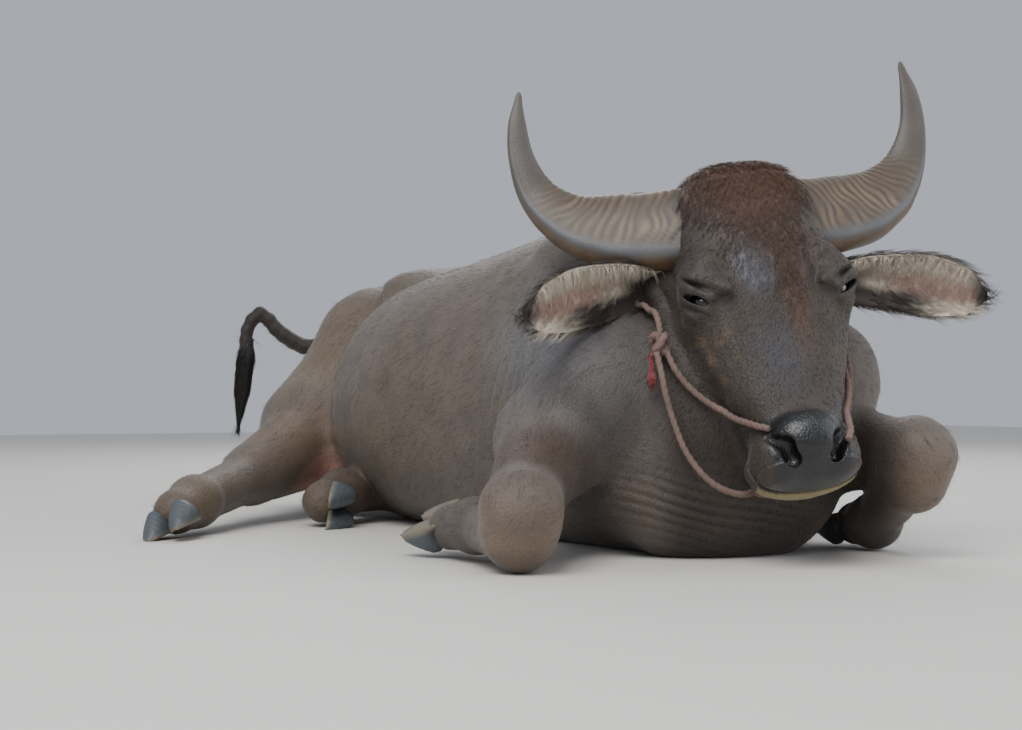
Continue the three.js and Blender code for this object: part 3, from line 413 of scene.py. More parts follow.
class Form:
    """The animal's flesh as one field, from the skull to the pasterns."""

    def skull(self, q: np.ndarray) -> np.ndarray:
        """The head with its muzzle, brows, lids, nostrils and mouth, in the head's frame."""
        m = one_sided(q)
        f = loft(m[:, [2, 0, 1]], SKULL, (45, 22))
        f = joined(f, m, (
            # Brow bone and the ridge over the eye
            (on_head(106, 174, -28), (25, 30, 42), 26),
            (on_head(86, 140, 2), on_head(112, 170, -8), 18, 15, 18),
            # Jaw, its lower edge and the cheek's ridge
            (on_head(66, 216, -130), (44, 76, 84), 34),
            (on_head(40, 250, -188), on_head(22, 400, -134), 24, 18, 30),
            (on_head(98, 214, -60), on_head(66, 330, -62), 16, 12, 26),
            # Muzzle, nose pad, wing of the nose, upper lip and chin
            (on_head(0, 424, -62), (76, 46, 44), 24),
            (on_head(0, 414, -18), (46, 28, 40), 14),
            (on_head(42, 434, -42), (30, 29, 35), 16),
            (on_head(34, 434, -84), (46, 28, 31), 16),
            (on_head(0, 410, -116), (48, 20, 40), 10),
            # Poll and the root of the ear
            (on_head(0, 10, -30), (94, 42, 46), 30),
            (on_head(84, 98, -116), on_head(126, 104, -118), 34, 25, 26),
        ))
        return pressed(f, limb(m, on_head(62, 262, 14), on_head(50, 372, 8), 17, 13), 18)

    def features(self, f: np.ndarray, q: np.ndarray) -> np.ndarray:
        """The field with lids, eye slits, nostrils and the line of the mouth worked in.

        Args:
            f: The field of the flesh so far.
            q: The same places in the head's frame.

        Returns:
            The field with the face's openings.
        """
        m = one_sided(q)
        ball = np.linalg.norm(m - EYE, axis=1)
        f = smooth(f, ball - (EYE_RADIUS + 3.0), 8)
        s = (m - EYE) @ SLIT_AXES.T
        # Upper lid, lower lid and brow, then the creases beside them and the slit
        f = joined(f, s, (
            (vec(0, 10, 14), (24, 8, 9), 8), (vec(0, -10, 12), (22, 6, 9), 8), (vec(-2, 30, 8), (44, 13, 15), 16),
        ))
        for centre, half, fillet in (
            (vec(0, 20, 27), (34, 2.0, 6), 7), (vec(0, -17, 25), (30, 1.6, 5), 7),
            (vec(0, 0, 21), (18, 4.0, 14), 2.0),
        ):
            f = pressed(f, mass(s, centre, half), fillet)
        f = pressed(f, limb(s, vec(15, -1, 22), vec(27, -3, 24), 2.2, 1.2), 3)
        f = np.maximum(f, -(ball - (EYE_RADIUS + 0.5)) - 40 * (s[:, 2] < 4))
        hole = limb(m, on_head(29, 442, -22), on_head(36, 428, -12), 13, 12)
        hole = smooth(hole, limb(m, on_head(36, 428, -12), on_head(55, 410, -20), 11, 5), 6)
        f = pressed(f, hole, 4)
        f = smooth(f, limb(m, on_head(52, 438, -26), on_head(62, 420, -28), 8, 6), 8)
        level = -72 + 0.0006 * m[:, 0] ** 2
        width = 2.4 * step(378, 412, m[:, 2])
        groove = np.maximum(np.abs(m[:, 1] - level) - width, -(f + 13))
        groove = np.maximum(np.maximum(groove, 382 - m[:, 2]), np.maximum(m[:, 0] - 86, m[:, 2] - 490))
        return pressed(f, groove, 3.5)

    def body(self, p: np.ndarray) -> np.ndarray:
        """Trunk, shoulders, haunch points, neck and head as one smooth field."""
        f = loft(p[:, [1, 0, 2]], TRUNK, (150, 95))
        f = joined(f, p, (
            # Spine
            (vec(0, 300, 512), vec(-6, 820, 466), 34, 30, 40),
            (vec(-6, 820, 466), vec(-18, 1290, 440), 30, 34, 40),
            # Shoulder blades and upper arms
            (vec(-130, 230, 430), vec(-196, 62, 240), 86, 92, 50),
            (vec(-196, 62, 240), FORE["right"].root, 92, 78, 50),
            (vec(126, 210, 415), vec(206, 72, 266), 80, 88, 60),
            (vec(206, 72, 266), FORE["left"].root, 88, 72, 50),
            # Hip points, pin bones and flank
            (vec(-104, 1030, 462), (60, 80, 34), 70),
            (vec(290, 1060, 380), (50, 60, 40), 60),
            (vec(-92, 1300, 352), vec(-110, 1330, 400), 62, 34, 50),
            (vec(40, 1290, 330), vec(66, 1338, 376), 70, 34, 50),
            (vec(-262, 905, 92), (88, 80, 78), 30),
            # Neck, its crest, throat and brisket
            (head_point(0, 60, -120), vec(0, 190, 400), 112, 165, 60),
            (head_point(0, 40, -92), vec(0, 240, 452), 76, 76, 60),
            (head_point(0, 150, -190), vec(-5, 72, 200), 70, 146, 40),
            (vec(-10, 24, 110), (190, 118, 130), 30),
        ))
        f = smooth(f, self.skull(to_head(p)), 24)
        return pressed(f, mass(p, vec(-196, 925, 512), (66, 92, 54)), 40)

    def cannon(self, p: np.ndarray, top: np.ndarray, leg: Leg, girth: float) -> np.ndarray:
        """The lower leg from a joint to the pastern, with its fetlock."""
        f = limb(p, top, leg.fetlock, girth, girth - 7)
        f = smooth(f, mass(p, leg.fetlock, (girth, girth, girth - 2)), 16)
        return smooth(f, limb(p, leg.fetlock, leg.pastern, girth - 5, girth - 7), 14)

    def flesh(self, p: np.ndarray) -> np.ndarray:
        """The whole animal under its coat, without ears, horns and hooves."""
        f = self.body(p)
        for side, leg in FORE.items():
            start = 78 if side == "right" else 72
            arm = limb(p, leg.root, leg.knee + vec(6, 16, 14), start, 50)
            cap = limb(p, leg.knee + vec(0, -10, 12), leg.knee + vec(4, 8, -28), 49, 46)
            f = smooth(f, smooth(arm, cap, 44), 34)
            f = smooth(f, self.cannon(p, leg.knee + vec(-2, 16, -22), leg, 42), 14)
        thigh = HIND["right"]
        f = joined(f, p, (
            (HIP["right"], thigh.root, 150, 105, 44), (vec(-150, 1290, 240), vec(-340, 1040, 175), 100, 88, 60),
            (thigh.root, thigh.knee, 100, 56, 44), (thigh.knee + vec(8, 22, 6), (50, 56, 48), 20),
            (HIP["left"], HIND["left"].root, 145, 105, 40),
        ))
        for leg in HIND.values():
            f = smooth(f, self.cannon(p, leg.knee, leg, 47), 16)
        f = smooth(f, limb(p, vec(-8, 1310, 432), vec(-62, 1384, 424), 34, 26), 22)
        return self.features(f, to_head(p))

    def tail(self, p: np.ndarray, f: np.ndarray) -> np.ndarray:
        """The field with the bare tail joined on."""
        path, _ = curve(TAIL_PATH, 22)
        for i in range(len(path) - 1):
            a, b = (TAIL_GIRTH[0] - np.subtract(*TAIL_GIRTH) * (k / (len(path) - 1)) ** 0.8 for k in (i, i + 1))
            f = smooth(f, limb(p, path[i], path[i + 1], a, b), 5)
        return f

    def skin(self, p: np.ndarray) -> np.ndarray:
        """The hide under the hair, with its tail, resting on the floor."""
        return np.maximum(self.tail(p, self.flesh(p)) + 1.2, 0.6 - p[:, 2])


def curve(points: Sequence[np.ndarray], count: int) -> tuple[np.ndarray, np.ndarray]:
    """A smooth curve through points, as evenly spaced places and directions."""
    p = np.array(points, float)
    ends = np.concatenate([[2 * p[0] - p[1]], p, [2 * p[-1] - p[-2]]])
    t = np.linspace(0, 1, 40, endpoint=False)[:, None]
    rows = []
    for p0, p1, p2, p3 in zip(ends, ends[1:], ends[2:], ends[3:]):
        d0, d1, d2 = (np.linalg.norm(b - a) ** 0.5 for a, b in ((p0, p1), (p1, p2), (p2, p3)))
        m1 = ((p1 - p0) / d0 - (p2 - p0) / (d0 + d1) + (p2 - p1) / d1) * d1
        m2 = ((p2 - p1) / d1 - (p3 - p1) / (d1 + d2) + (p3 - p2) / d2) * d1
        bend = -3 * p1 + 3 * p2 - 2 * m1 - m2
        rows.append(p1 + t * m1 + t * t * bend + t**3 * (2 * p1 - 2 * p2 + m1 + m2))
    line = np.concatenate(rows + [p[-1:]])
    run = np.concatenate([[0], np.cumsum(np.linalg.norm(np.diff(line, axis=0), axis=1))])
    at = np.linspace(0, run[-1], count + 1)
    places = np.stack([np.interp(at, run, line[:, i]) for i in range(3)], 1)
    ways = np.gradient(places, axis=0)
    return places, ways / np.linalg.norm(ways, axis=1)[:, None]


TAIL_PATH = [
    vec(-8, 1312, 432), vec(-30, 1352, 440), vec(-104, 1420, 398), vec(-186, 1468, 352), vec(-250, 1490, 384),
    vec(-296, 1503, 430), vec(-322, 1511, 402), vec(-330, 1514, 330), vec(-332, 1515, 290),
]


@dataclass(frozen=True)
class Axis:
    """A line inside a part of the body, with the part's girth round it."""

    a: np.ndarray
    b: np.ndarray
    girth: float
    fall: np.ndarray = field(default_factory=lambda: vec(0, 0, 0))

    def place(self, p: np.ndarray) -> tuple[np.ndarray, np.ndarray, np.ndarray]:
        """How far along and round the line each point lies, and how far outside the girth."""
        way = self.b - self.a
        length = np.linalg.norm(way)
        way = way / length
        side = unit(np.cross(way, vec(0.31, 0.2, 0.93)))
        top = np.cross(side, way)
        t = np.clip((p - self.a) @ way / length, 0, 1)
        off = p - self.a - t[:, None] * way * length
        return t, np.arctan2(off @ side, off @ top) / TURN + 0.5, np.linalg.norm(off, axis=1) - self.girth

    def lie(self) -> np.ndarray:
        """The way the hair lies over the part."""
        return unit(unit(self.b - self.a) + self.fall)


def body_axes() -> list[Axis]:
    """The lines inside trunk, neck, head, limbs and tail."""
    axes = [
        Axis(vec(0, 60, 240), vec(40, 1300, 260), 280, vec(0, 0, -0.7)),
        Axis(head_point(0, 60, -120), vec(0, 190, 400), 120, vec(0, 0, -0.5)),
        Axis(head_point(0, 20, -80), head_point(0, 440, -80), 90),
        Axis(TAIL_PATH[1], TAIL_PATH[-1], 20),
    ]
    for leg in FORE.values():
        axes += [Axis(leg.root, leg.knee, 70), Axis(leg.knee, leg.pastern, 42)]
    for side, leg in HIND.items():
        axes += [Axis(HIP[side], leg.root, 120), Axis(leg.root, leg.knee, 80), Axis(leg.knee, leg.pastern, 45)]
    return axes


# Meshes


def tinted(colour: str) -> np.ndarray:
    """A colour written in sRGB as linear red, green and blue."""
    c = np.array([int(colour[i : i + 2], 16) / 255 for i in (1, 3, 5)])
    return np.where(c <= 0.04045, c / 12.92, ((c + 0.055) / 1.055) ** 2.4)


def plain(colour: str, count: int) -> np.ndarray:
    """The same tint for each of a number of points."""
    return np.repeat(tinted(colour)[None], count, 0)


def blend(base: np.ndarray, colour: str, mask: np.ndarray) -> np.ndarray:
    """Tints moved towards a colour by a mask."""
    m = np.clip(mask, 0, 1)[:, None]
    return base * (1 - m) + tinted(colour) * m


def made(name: str, vertices: np.ndarray, faces: Sequence[Sequence[int]], **marks: np.ndarray) -> bpy.types.Object:
    """One object from vertices in millimetres, with a value of each mark at each vertex.

    Args:
        name: The object's name.
        vertices: Its vertices.
        faces: Its faces, each a row of vertex numbers.
        **marks: Arrays of one or three numbers to a vertex, kept as attributes.

    Returns:
        The object, linked to the scene.
    """
    mesh = bpy.data.meshes.new(name)
    mesh.from_pydata((vertices * MM).tolist(), [], [list(f) for f in faces])
    for mark, values in marks.items():
        kind = "FLOAT" if values.ndim == 1 else "FLOAT_VECTOR"
        store = mesh.attributes.new(mark, kind, "POINT")
        store.data.foreach_set("value" if values.ndim == 1 else "vector", values.astype(np.float32).ravel())
    mesh.shade_smooth()
    mesh.validate()
    thing = bpy.data.objects.new(name, mesh)
    bpy.context.scene.collection.objects.link(thing)
    return thing


def rings_mesh(rings: np.ndarray) -> tuple[np.ndarray, list[list[int]]]:
    """Vertices and faces of a closed skin through rings, with a fan at each end."""
    count, sides = rings.shape[:2]
    vertices = np.concatenate([rings.reshape(-1, 3), rings[0].mean(0)[None], rings[-1].mean(0)[None]])
    first, last = count * sides, count * sides + 1
    faces = []
    for i in range(count - 1):
        for k in range(sides):
            n = (k + 1) % sides
            faces.append([i * sides + k, i * sides + n, (i + 1) * sides + n, (i + 1) * sides + k])
    for k in range(sides):
        n = (k + 1) % sides
        faces.append([first, n, k])
        faces.append([last, (count - 1) * sides + k, (count - 1) * sides + n])
    a, b, c = (vertices[[f[i] for f in faces]] for i in range(3))
    if np.einsum("ij,ij->i", a, np.cross(b, c)).sum() < 0:
        faces = [f[::-1] for f in faces]
    return vertices, faces


def ring_marks(values: np.ndarray) -> np.ndarray:
    """Marks of the rings followed by those of the two end points."""
    flat = values.reshape(-1, *values.shape[2:])
    return np.concatenate([flat, values[0].mean(0)[None], values[-1].mean(0)[None]])


def strand(path: np.ndarray, radius: float | np.ndarray, sides: int = 18, twist: float = 0.0) -> np.ndarray:
    """Rings of a cord along a path, with three laid strands where twist is the length of one turn."""
    ways = np.gradient(path, axis=0)
    ways /= np.linalg.norm(ways, axis=1)[:, None]
    run = np.concatenate([[0], np.cumsum(np.linalg.norm(np.diff(path, axis=0), axis=1))])
    side = unit(np.cross(ways[0], vec(0.3, 0.5, 0.81)))
    angle = np.linspace(0, TURN, sides, endpoint=False)
    rings = []
    for i, way in enumerate(ways):
        side = unit(side - way * (side @ way))
        top = np.cross(way, side)
        r = radius if np.isscalar(radius) else radius[i]
        lay = 1 + 0.26 * np.abs(np.cos(1.5 * (angle - TURN * run[i] / twist))) - 0.16 if twist else 1.0
        rings.append(path[i] + r * (np.outer(np.cos(angle) * lay, side) + np.outer(np.sin(angle) * lay, top)))
    return np.array(rings)


# Finishes


def put(tree: bpy.types.NodeTree, kind: str, inputs: dict | None = None, **settings) -> bpy.types.Node:
    """Adds a node.

    Args:
        tree: The tree it goes into.
        kind: The node's type.
        inputs: A value or another node's output for each input, by name or number.
        **settings: The node's own settings.

    Returns:
        The node.
    """
    node = tree.nodes.new(kind)
    for name, value in settings.items():
        setattr(node, name, value)
    for key, value in (inputs or {}).items():
        socket = node.inputs[key]
        if isinstance(value, bpy.types.NodeSocket):
            tree.links.new(value, socket)
        else:
            socket.default_value = value
    return node


@dataclass(frozen=True)
class Finish:
    """What a surface is made of.

    Attributes:
        name: The material's name.
        colour: Its colour in sRGB, or none where the piece carries its own tints.
        mottle: How much patches differ, as a share.
        mottle_mm: Size of the patches.
        grain: How much the fine grain differs, as a share.
        grain_mm: Size of the grain.
        lay: How the grain is drawn out along x, y and z.
        creases_mm: Size of the fields between fine creases, or 0.
        relief_mm: Height of the grain.
        roughness: How dull it is.
        wet: Whether the piece marks where it is wet.
        coat: Share of a clear layer over it.
        sheen: Share of soft light from fine hairs.
        under: Share of light that scatters under the surface.
    """

    name: str
    colour: str = ""
    mottle: float = 0.15
    mottle_mm: float = 70
    grain: float = 0.12
    grain_mm: float = 3
    lay: tuple[float, float, float] = (1, 1, 1)
    creases_mm: float = 0
    relief_mm: float = 0.3
    roughness: float = 0.6
    wet: bool = False
    coat: float = 0
    sheen: float = 0
    under: float = 0

    def build(self) -> bpy.types.Material:
        """The material with its nodes."""
        material = bpy.data.materials.new(self.name)
        material.use_nodes = True
        tree = material.node_tree
        tree.nodes.clear()
        place = put(tree, "ShaderNodeTexCoord").outputs["Object"]
        drawn = put(tree, "ShaderNodeVectorMath", {0: place, 1: self.lay}, operation="MULTIPLY").outputs[0]
        patches = put(
            tree, "ShaderNodeTexNoise", {"Vector": place, "Scale": 1 / (self.mottle_mm * MM), "Detail": 4.0}
        ).outputs["Fac"]
        grain = put(
            tree, "ShaderNodeTexNoise", {"Vector": drawn, "Scale": 1 / (self.grain_mm * MM), "Detail": 3.0}
        ).outputs["Fac"]
        if self.colour:
            base = tinted(self.colour)
        else:
            base = put(tree, "ShaderNodeAttribute", attribute_name="Tint").outputs["Color"]
        shares = [
            put(tree, "ShaderNodeMath", {0: fac, 1: 2 * share, 2: 1 - share}, operation="MULTIPLY_ADD").outputs[0]
            for fac, share in ((patches, self.mottle), (grain, self.grain))
        ]
        both = put(tree, "ShaderNodeMath", dict(enumerate(shares)), operation="MULTIPLY").outputs[0]
        shaded = put(tree, "ShaderNodeVectorMath", {0: base, "Scale": both}, operation="SCALE").outputs[0]
        height = grain
        if self.creases_mm:
            cells = put(tree, "ShaderNodeTexVoronoi", {"Vector": drawn, "Scale": 1 / (self.creases_mm * MM)},
                        feature="DISTANCE_TO_EDGE").outputs["Distance"]
            # Each small field of hide lies flat between its creases
            flat = put(tree, "ShaderNodeMath", {0: cells, 1: 0.22, 2: 0.18}, operation="SMOOTH_MIN").outputs[0]
            height = put(tree, "ShaderNodeMath", {0: flat, 1: 2.2, 2: grain}, operation="MULTIPLY_ADD").outputs[0]
        bump = put(
            tree, "ShaderNodeBump", {"Strength": 1.0, "Distance": self.relief_mm * MM, "Height": height}
        ).outputs["Normal"]
        inputs = {"Base Color": shaded, "Normal": bump, "Roughness": self.roughness}
        if self.wet:
            wet = put(tree, "ShaderNodeAttribute", attribute_name="Wet").outputs["Fac"]
            inputs["Roughness"] = put(
                tree, "ShaderNodeMath", {0: wet, 1: WET_ROUGHNESS - self.roughness, 2: self.roughness},
                operation="MULTIPLY_ADD",
            ).outputs[0]
            inputs["Coat Weight"] = put(tree, "ShaderNodeMath", {0: wet, 1: 0.3}, operation="MULTIPLY").outputs[0]
            inputs["Coat Roughness"] = 0.16
        elif self.coat:
            inputs["Coat Weight"] = self.coat
            inputs["Coat Roughness"] = 0.08
        if self.sheen:
            inputs["Sheen Weight"] = self.sheen
            inputs["Sheen Roughness"] = 0.4
        if self.under:
            inputs["Subsurface Weight"] = self.under
            inputs["Subsurface Scale"] = 0.004
        surface = put(tree, "ShaderNodeBsdfPrincipled", inputs)
        put(tree, "ShaderNodeOutputMaterial", {"Surface": surface.outputs[0]})
        return material


class Stuff(Enum):
    """The finishes of this animal and of what it wears."""

    # A buffalo's hide is dark, dull and sparsely haired, with a fine net of creases
    HIDE = Finish("Buffalo hide", mottle=0.34, mottle_mm=60, grain=0.38, grain_mm=3.6, lay=(1.7, 0.45, 1.0),
                  creases_mm=7, relief_mm=0.75, roughness=0.6, wet=True, sheen=0.12)
    # Hair is keratin in the tint of the hide that it grows from, painted shade and highlights included
    HAIR = Finish("Buffalo hair", mottle=0.15, grain=0.1, grain_mm=6, relief_mm=0.1, roughness=0.5, sheen=0.1)
    EAR = Finish("Ear skin", mottle=0.12, mottle_mm=30, grain=0.12, grain_mm=2.5, relief_mm=0.4,
                 roughness=0.6, sheen=0.2, under=0.1)
    # Horn is layered keratin, satin where rubbed
    HORN = Finish("Buffalo horn", mottle=0.16, mottle_mm=32, grain=0.14, grain_mm=2.0, lay=(0.35, 1.0, 1.0),
                  relief_mm=0.5, roughness=0.46)
    HOOF = Finish("Hoof horn", mottle=0.2, mottle_mm=24, grain=0.12, grain_mm=2.5, relief_mm=0.4, roughness=0.5)
    # The eye is a wet dark ball
    EYE = Finish("Eye", mottle=0.05, grain=0.02, relief_mm=0.0, roughness=0.08, coat=1.0)
    # The halter is plant fibre, worn and greasy
    ROPE = Finish("Worn rope fibre", colour="#766259", mottle=0.3, mottle_mm=18, grain=0.25, grain_mm=1.0,
                  relief_mm=0.5, roughness=0.85)
    WOOL = Finish("Red wool", colour="#7d2a2b", mottle=0.2, mottle_mm=10, grain=0.2, grain_mm=1.0,
                  relief_mm=0.3, roughness=0.9, sheen=0.3)
    FLOOR = Finish("Pale floor", colour="#d9d6d0", mottle=0.01, grain=0.01, relief_mm=0.0, roughness=0.8)


BUILT: dict[Stuff, bpy.types.Material] = {}


def finished(thing: bpy.types.Object, stuff: Stuff, replaces: Sequence[str] = ()) -> bpy.types.Object:
    """Gives a piece its finish, its colour slot and its place on the body.

    Args:
        thing: The piece.
        stuff: What it is made of.
        replaces: The solids that it stands for.

    Returns:
        The same piece.
    """
    if stuff not in BUILT:
        BUILT[stuff] = stuff.value.build()
    thing.data.materials.clear()
    thing.data.materials.append(BUILT[stuff])
    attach(thing, BODY)
    if replaces:
        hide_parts(*replaces)
    LOG.info("%s: %d faces", thing.name, len(thing.data.polygons))
    return thing


# Hair


@dataclass(frozen=True)
class Tuft:
    """A few tapered hairs that rise from one root and lie down again.

    Attributes:
        hairs: How many.
        length: Their length in millimetres.
        girth: Their width at the root.
        spread: How far apart they stand at the tip.
        rise: How far they stand off the skin at their highest.
        links: How many lengths each hair bends in.
    """

    hairs: int
    length: float
    girth: float
    spread: float
    rise: float
    links: int = 2

    def build(self, name: str) -> bpy.types.Object:
        """The tuft as a mesh that lies along y with z away from the skin."""

        def lift(t: float) -> float:
            """How far a hair stands off the skin, part of the way along it."""
            return self.rise * math.sin(math.pi * (0.12 + 0.78 * t))

        draw = np.random.default_rng(self.hairs * 7 + self.links)
        vertices, faces, patch = [], [], []
        for h in range(self.hairs):
            aside = (h - (self.hairs - 1) / 2) / max(self.hairs, 1)
            reach = self.length * draw.uniform(0.75, 1.05)
            first = len(vertices)
            for i in range(self.links):
                t = i / self.links
                centre = vec(aside * (self.girth * 1.6 + self.spread * t), reach * t,
                             lift(t) - 0.6 * lift(0) - 0.8 * (1 - t))
                for k in range(3):
                    a = TURN * k / 3 + math.pi / 2
                    size = self.girth * 0.5 * (1 - 0.7 * t)
                    vertices.append(centre + vec(math.cos(a) * size, 0, math.sin(a) * size * 0.6))
                    patch.append((aside + 0.5, t, 0.0))
            vertices.append(vec(aside * (self.girth * 1.6 + self.spread), reach, lift(1) - 0.2 * self.rise))
            patch.append((aside + 0.5, 1.0, 0.0))
            for i in range(self.links - 1):
                for k in range(3):
                    a, b = first + 3 * i + k, first + 3 * i + (k + 1) % 3
                    faces.append([b, a, a + 3, b + 3])
            tip = len(vertices) - 1
            last = first + 3 * (self.links - 1)
            faces += [[last + (k + 1) % 3, last + k, tip] for k in range(3)]
            faces.append([first, first + 1, first + 2])
        return made(name, np.array(vertices), faces, Patch=np.array(patch) * PATCH_SIZE)


def grow(name: str, ground: bpy.types.Object, tuft: Tuft, density: float, seed: int,
         sizes: tuple[float, float] = (0.7, 1.2), sway: float = 0.35) -> bpy.types.Object:
    """Tufts scattered over a surface, following the lie that it marks.

    Args:
        name: Name of the new piece.
        ground: The surface, which marks Growth, Lie, Unwrap and Tint.
        tuft: The tuft to repeat.
        density: Tufts to a square metre where the growth is full.
        seed: Seed of the scatter.
        sizes: Smallest and largest size.
        sway: How far tufts turn from the lie, in radians.

    Returns:
        The tufts as one mesh object.
    """
    model = tuft.build(name + "_model")
    tree = bpy.data.node_groups.new(name + " scatter", "GeometryNodeTree")
    tree.interface.new_socket("Geometry", in_out="INPUT", socket_type="NodeSocketGeometry")
    wanted = {"Density": ("NodeSocketFloat", density), "Seed": ("NodeSocketInt", seed),
              "Smallest": ("NodeSocketFloat", sizes[0]), "Largest": ("NodeSocketFloat", sizes[1]),
              "Sway": ("NodeSocketFloat", sway), "Finish": ("NodeSocketMaterial", None)}
    sockets = {key: tree.interface.new_socket(key, in_out="INPUT", socket_type=kind)
               for key, (kind, _) in wanted.items()}
    tree.interface.new_socket("Geometry", in_out="OUTPUT", socket_type="NodeSocketGeometry")
    given = put(tree, "NodeGroupInput").outputs

    def mark(title: str, kind: str) -> bpy.types.NodeSocket:
        """A mark that the surface or the tuft carries."""
        return put(tree, "GeometryNodeInputNamedAttribute", {"Name": title}, data_type=kind).outputs["Attribute"]

    def chance(low: object, high: object, offset: int) -> bpy.types.NodeSocket:
        """A number drawn for each tuft between two others."""
        number = put(tree, "ShaderNodeMath", {0: given["Seed"], 1: float(offset)}, operation="ADD").outputs[0]
        return put(tree, "FunctionNodeRandomValue", {2: low, 3: high, "Seed": number}, data_type="FLOAT").outputs[1]

    amount = put(tree, "ShaderNodeMath", {0: mark("Growth", "FLOAT"), 1: given["Density"]}, operation="MULTIPLY")
    spread = put(tree, "GeometryNodeDistributePointsOnFaces",
                 {"Mesh": given["Geometry"], "Density": amount.outputs[0], "Seed": given["Seed"]})
    upright = put(tree, "FunctionNodeAlignRotationToVector", {"Vector": spread.outputs["Normal"]}, axis="Z")
    laid = put(tree, "FunctionNodeAlignRotationToVector",
               {"Rotation": upright.outputs[0], "Vector": mark("Lie", "FLOAT_VECTOR")}, axis="Y", pivot_axis="Z")
    less = put(tree, "ShaderNodeMath", {0: given["Sway"], 1: -1.0}, operation="MULTIPLY").outputs[0]
    turn = put(tree, "ShaderNodeCombineXYZ", {"Z": chance(less, given["Sway"], 3), "X": chance(-0.02, 0.14, 7)})
    swayed = put(tree, "FunctionNodeRotateRotation", {"Rotation": laid.outputs[0], "Rotate By": turn.outputs[0]},
                 rotation_space="LOCAL")
    form = put(tree, "GeometryNodeObjectInfo", {"Object": model}, transform_space="ORIGINAL").outputs["Geometry"]
    size = chance(given["Smallest"], given["Largest"], 11)
    copies = put(tree, "GeometryNodeInstanceOnPoints",
                 {"Points": spread.outputs["Points"], "Instance": form, "Rotation": swayed.outputs[0], "Scale": size})
    real = put(tree, "GeometryNodeRealizeInstances", {"Geometry": copies.outputs[0]})
    root = put(tree, "ShaderNodeVectorMath", {0: mark("Unwrap", "FLOAT_VECTOR"), 1: mark("Patch", "FLOAT_VECTOR")},
               operation="ADD").outputs[0]
    stored = put(tree, "GeometryNodeStoreNamedAttribute",
                 {"Geometry": real.outputs[0], "Name": "OFBake", "Value": root}, data_type="FLOAT2", domain="CORNER")
    clothed = put(tree, "GeometryNodeSetMaterial", {"Geometry": stored.outputs[0], "Material": given["Finish"]})
    put(tree, "NodeGroupOutput", {"Geometry": clothed.outputs[0]})
    if Stuff.HAIR not in BUILT:
        BUILT[Stuff.HAIR] = Stuff.HAIR.value.build()
    modifier = ground.modifiers.new(name, "NODES")
    modifier.node_group = tree
    for key, (_, value) in wanted.items():
        modifier[sockets[key].identifier] = BUILT[Stuff.HAIR] if key == "Finish" else value
    bpy.context.view_layer.update()
    mesh = bpy.data.meshes.new_from_object(ground.evaluated_get(bpy.context.evaluated_depsgraph_get()))
    ground.modifiers.remove(modifier)
    mesh.name = name
    for extra in ("Growth", "Lie", "Wet", "Unwrap", "Patch"):
        if extra in mesh.attributes:
            mesh.attributes.remove(mesh.attributes[extra])
    bpy.data.objects.remove(model)
    thing = bpy.data.objects.new(name, mesh)
    bpy.context.scene.collection.objects.link(thing)
    return thing


# The animal


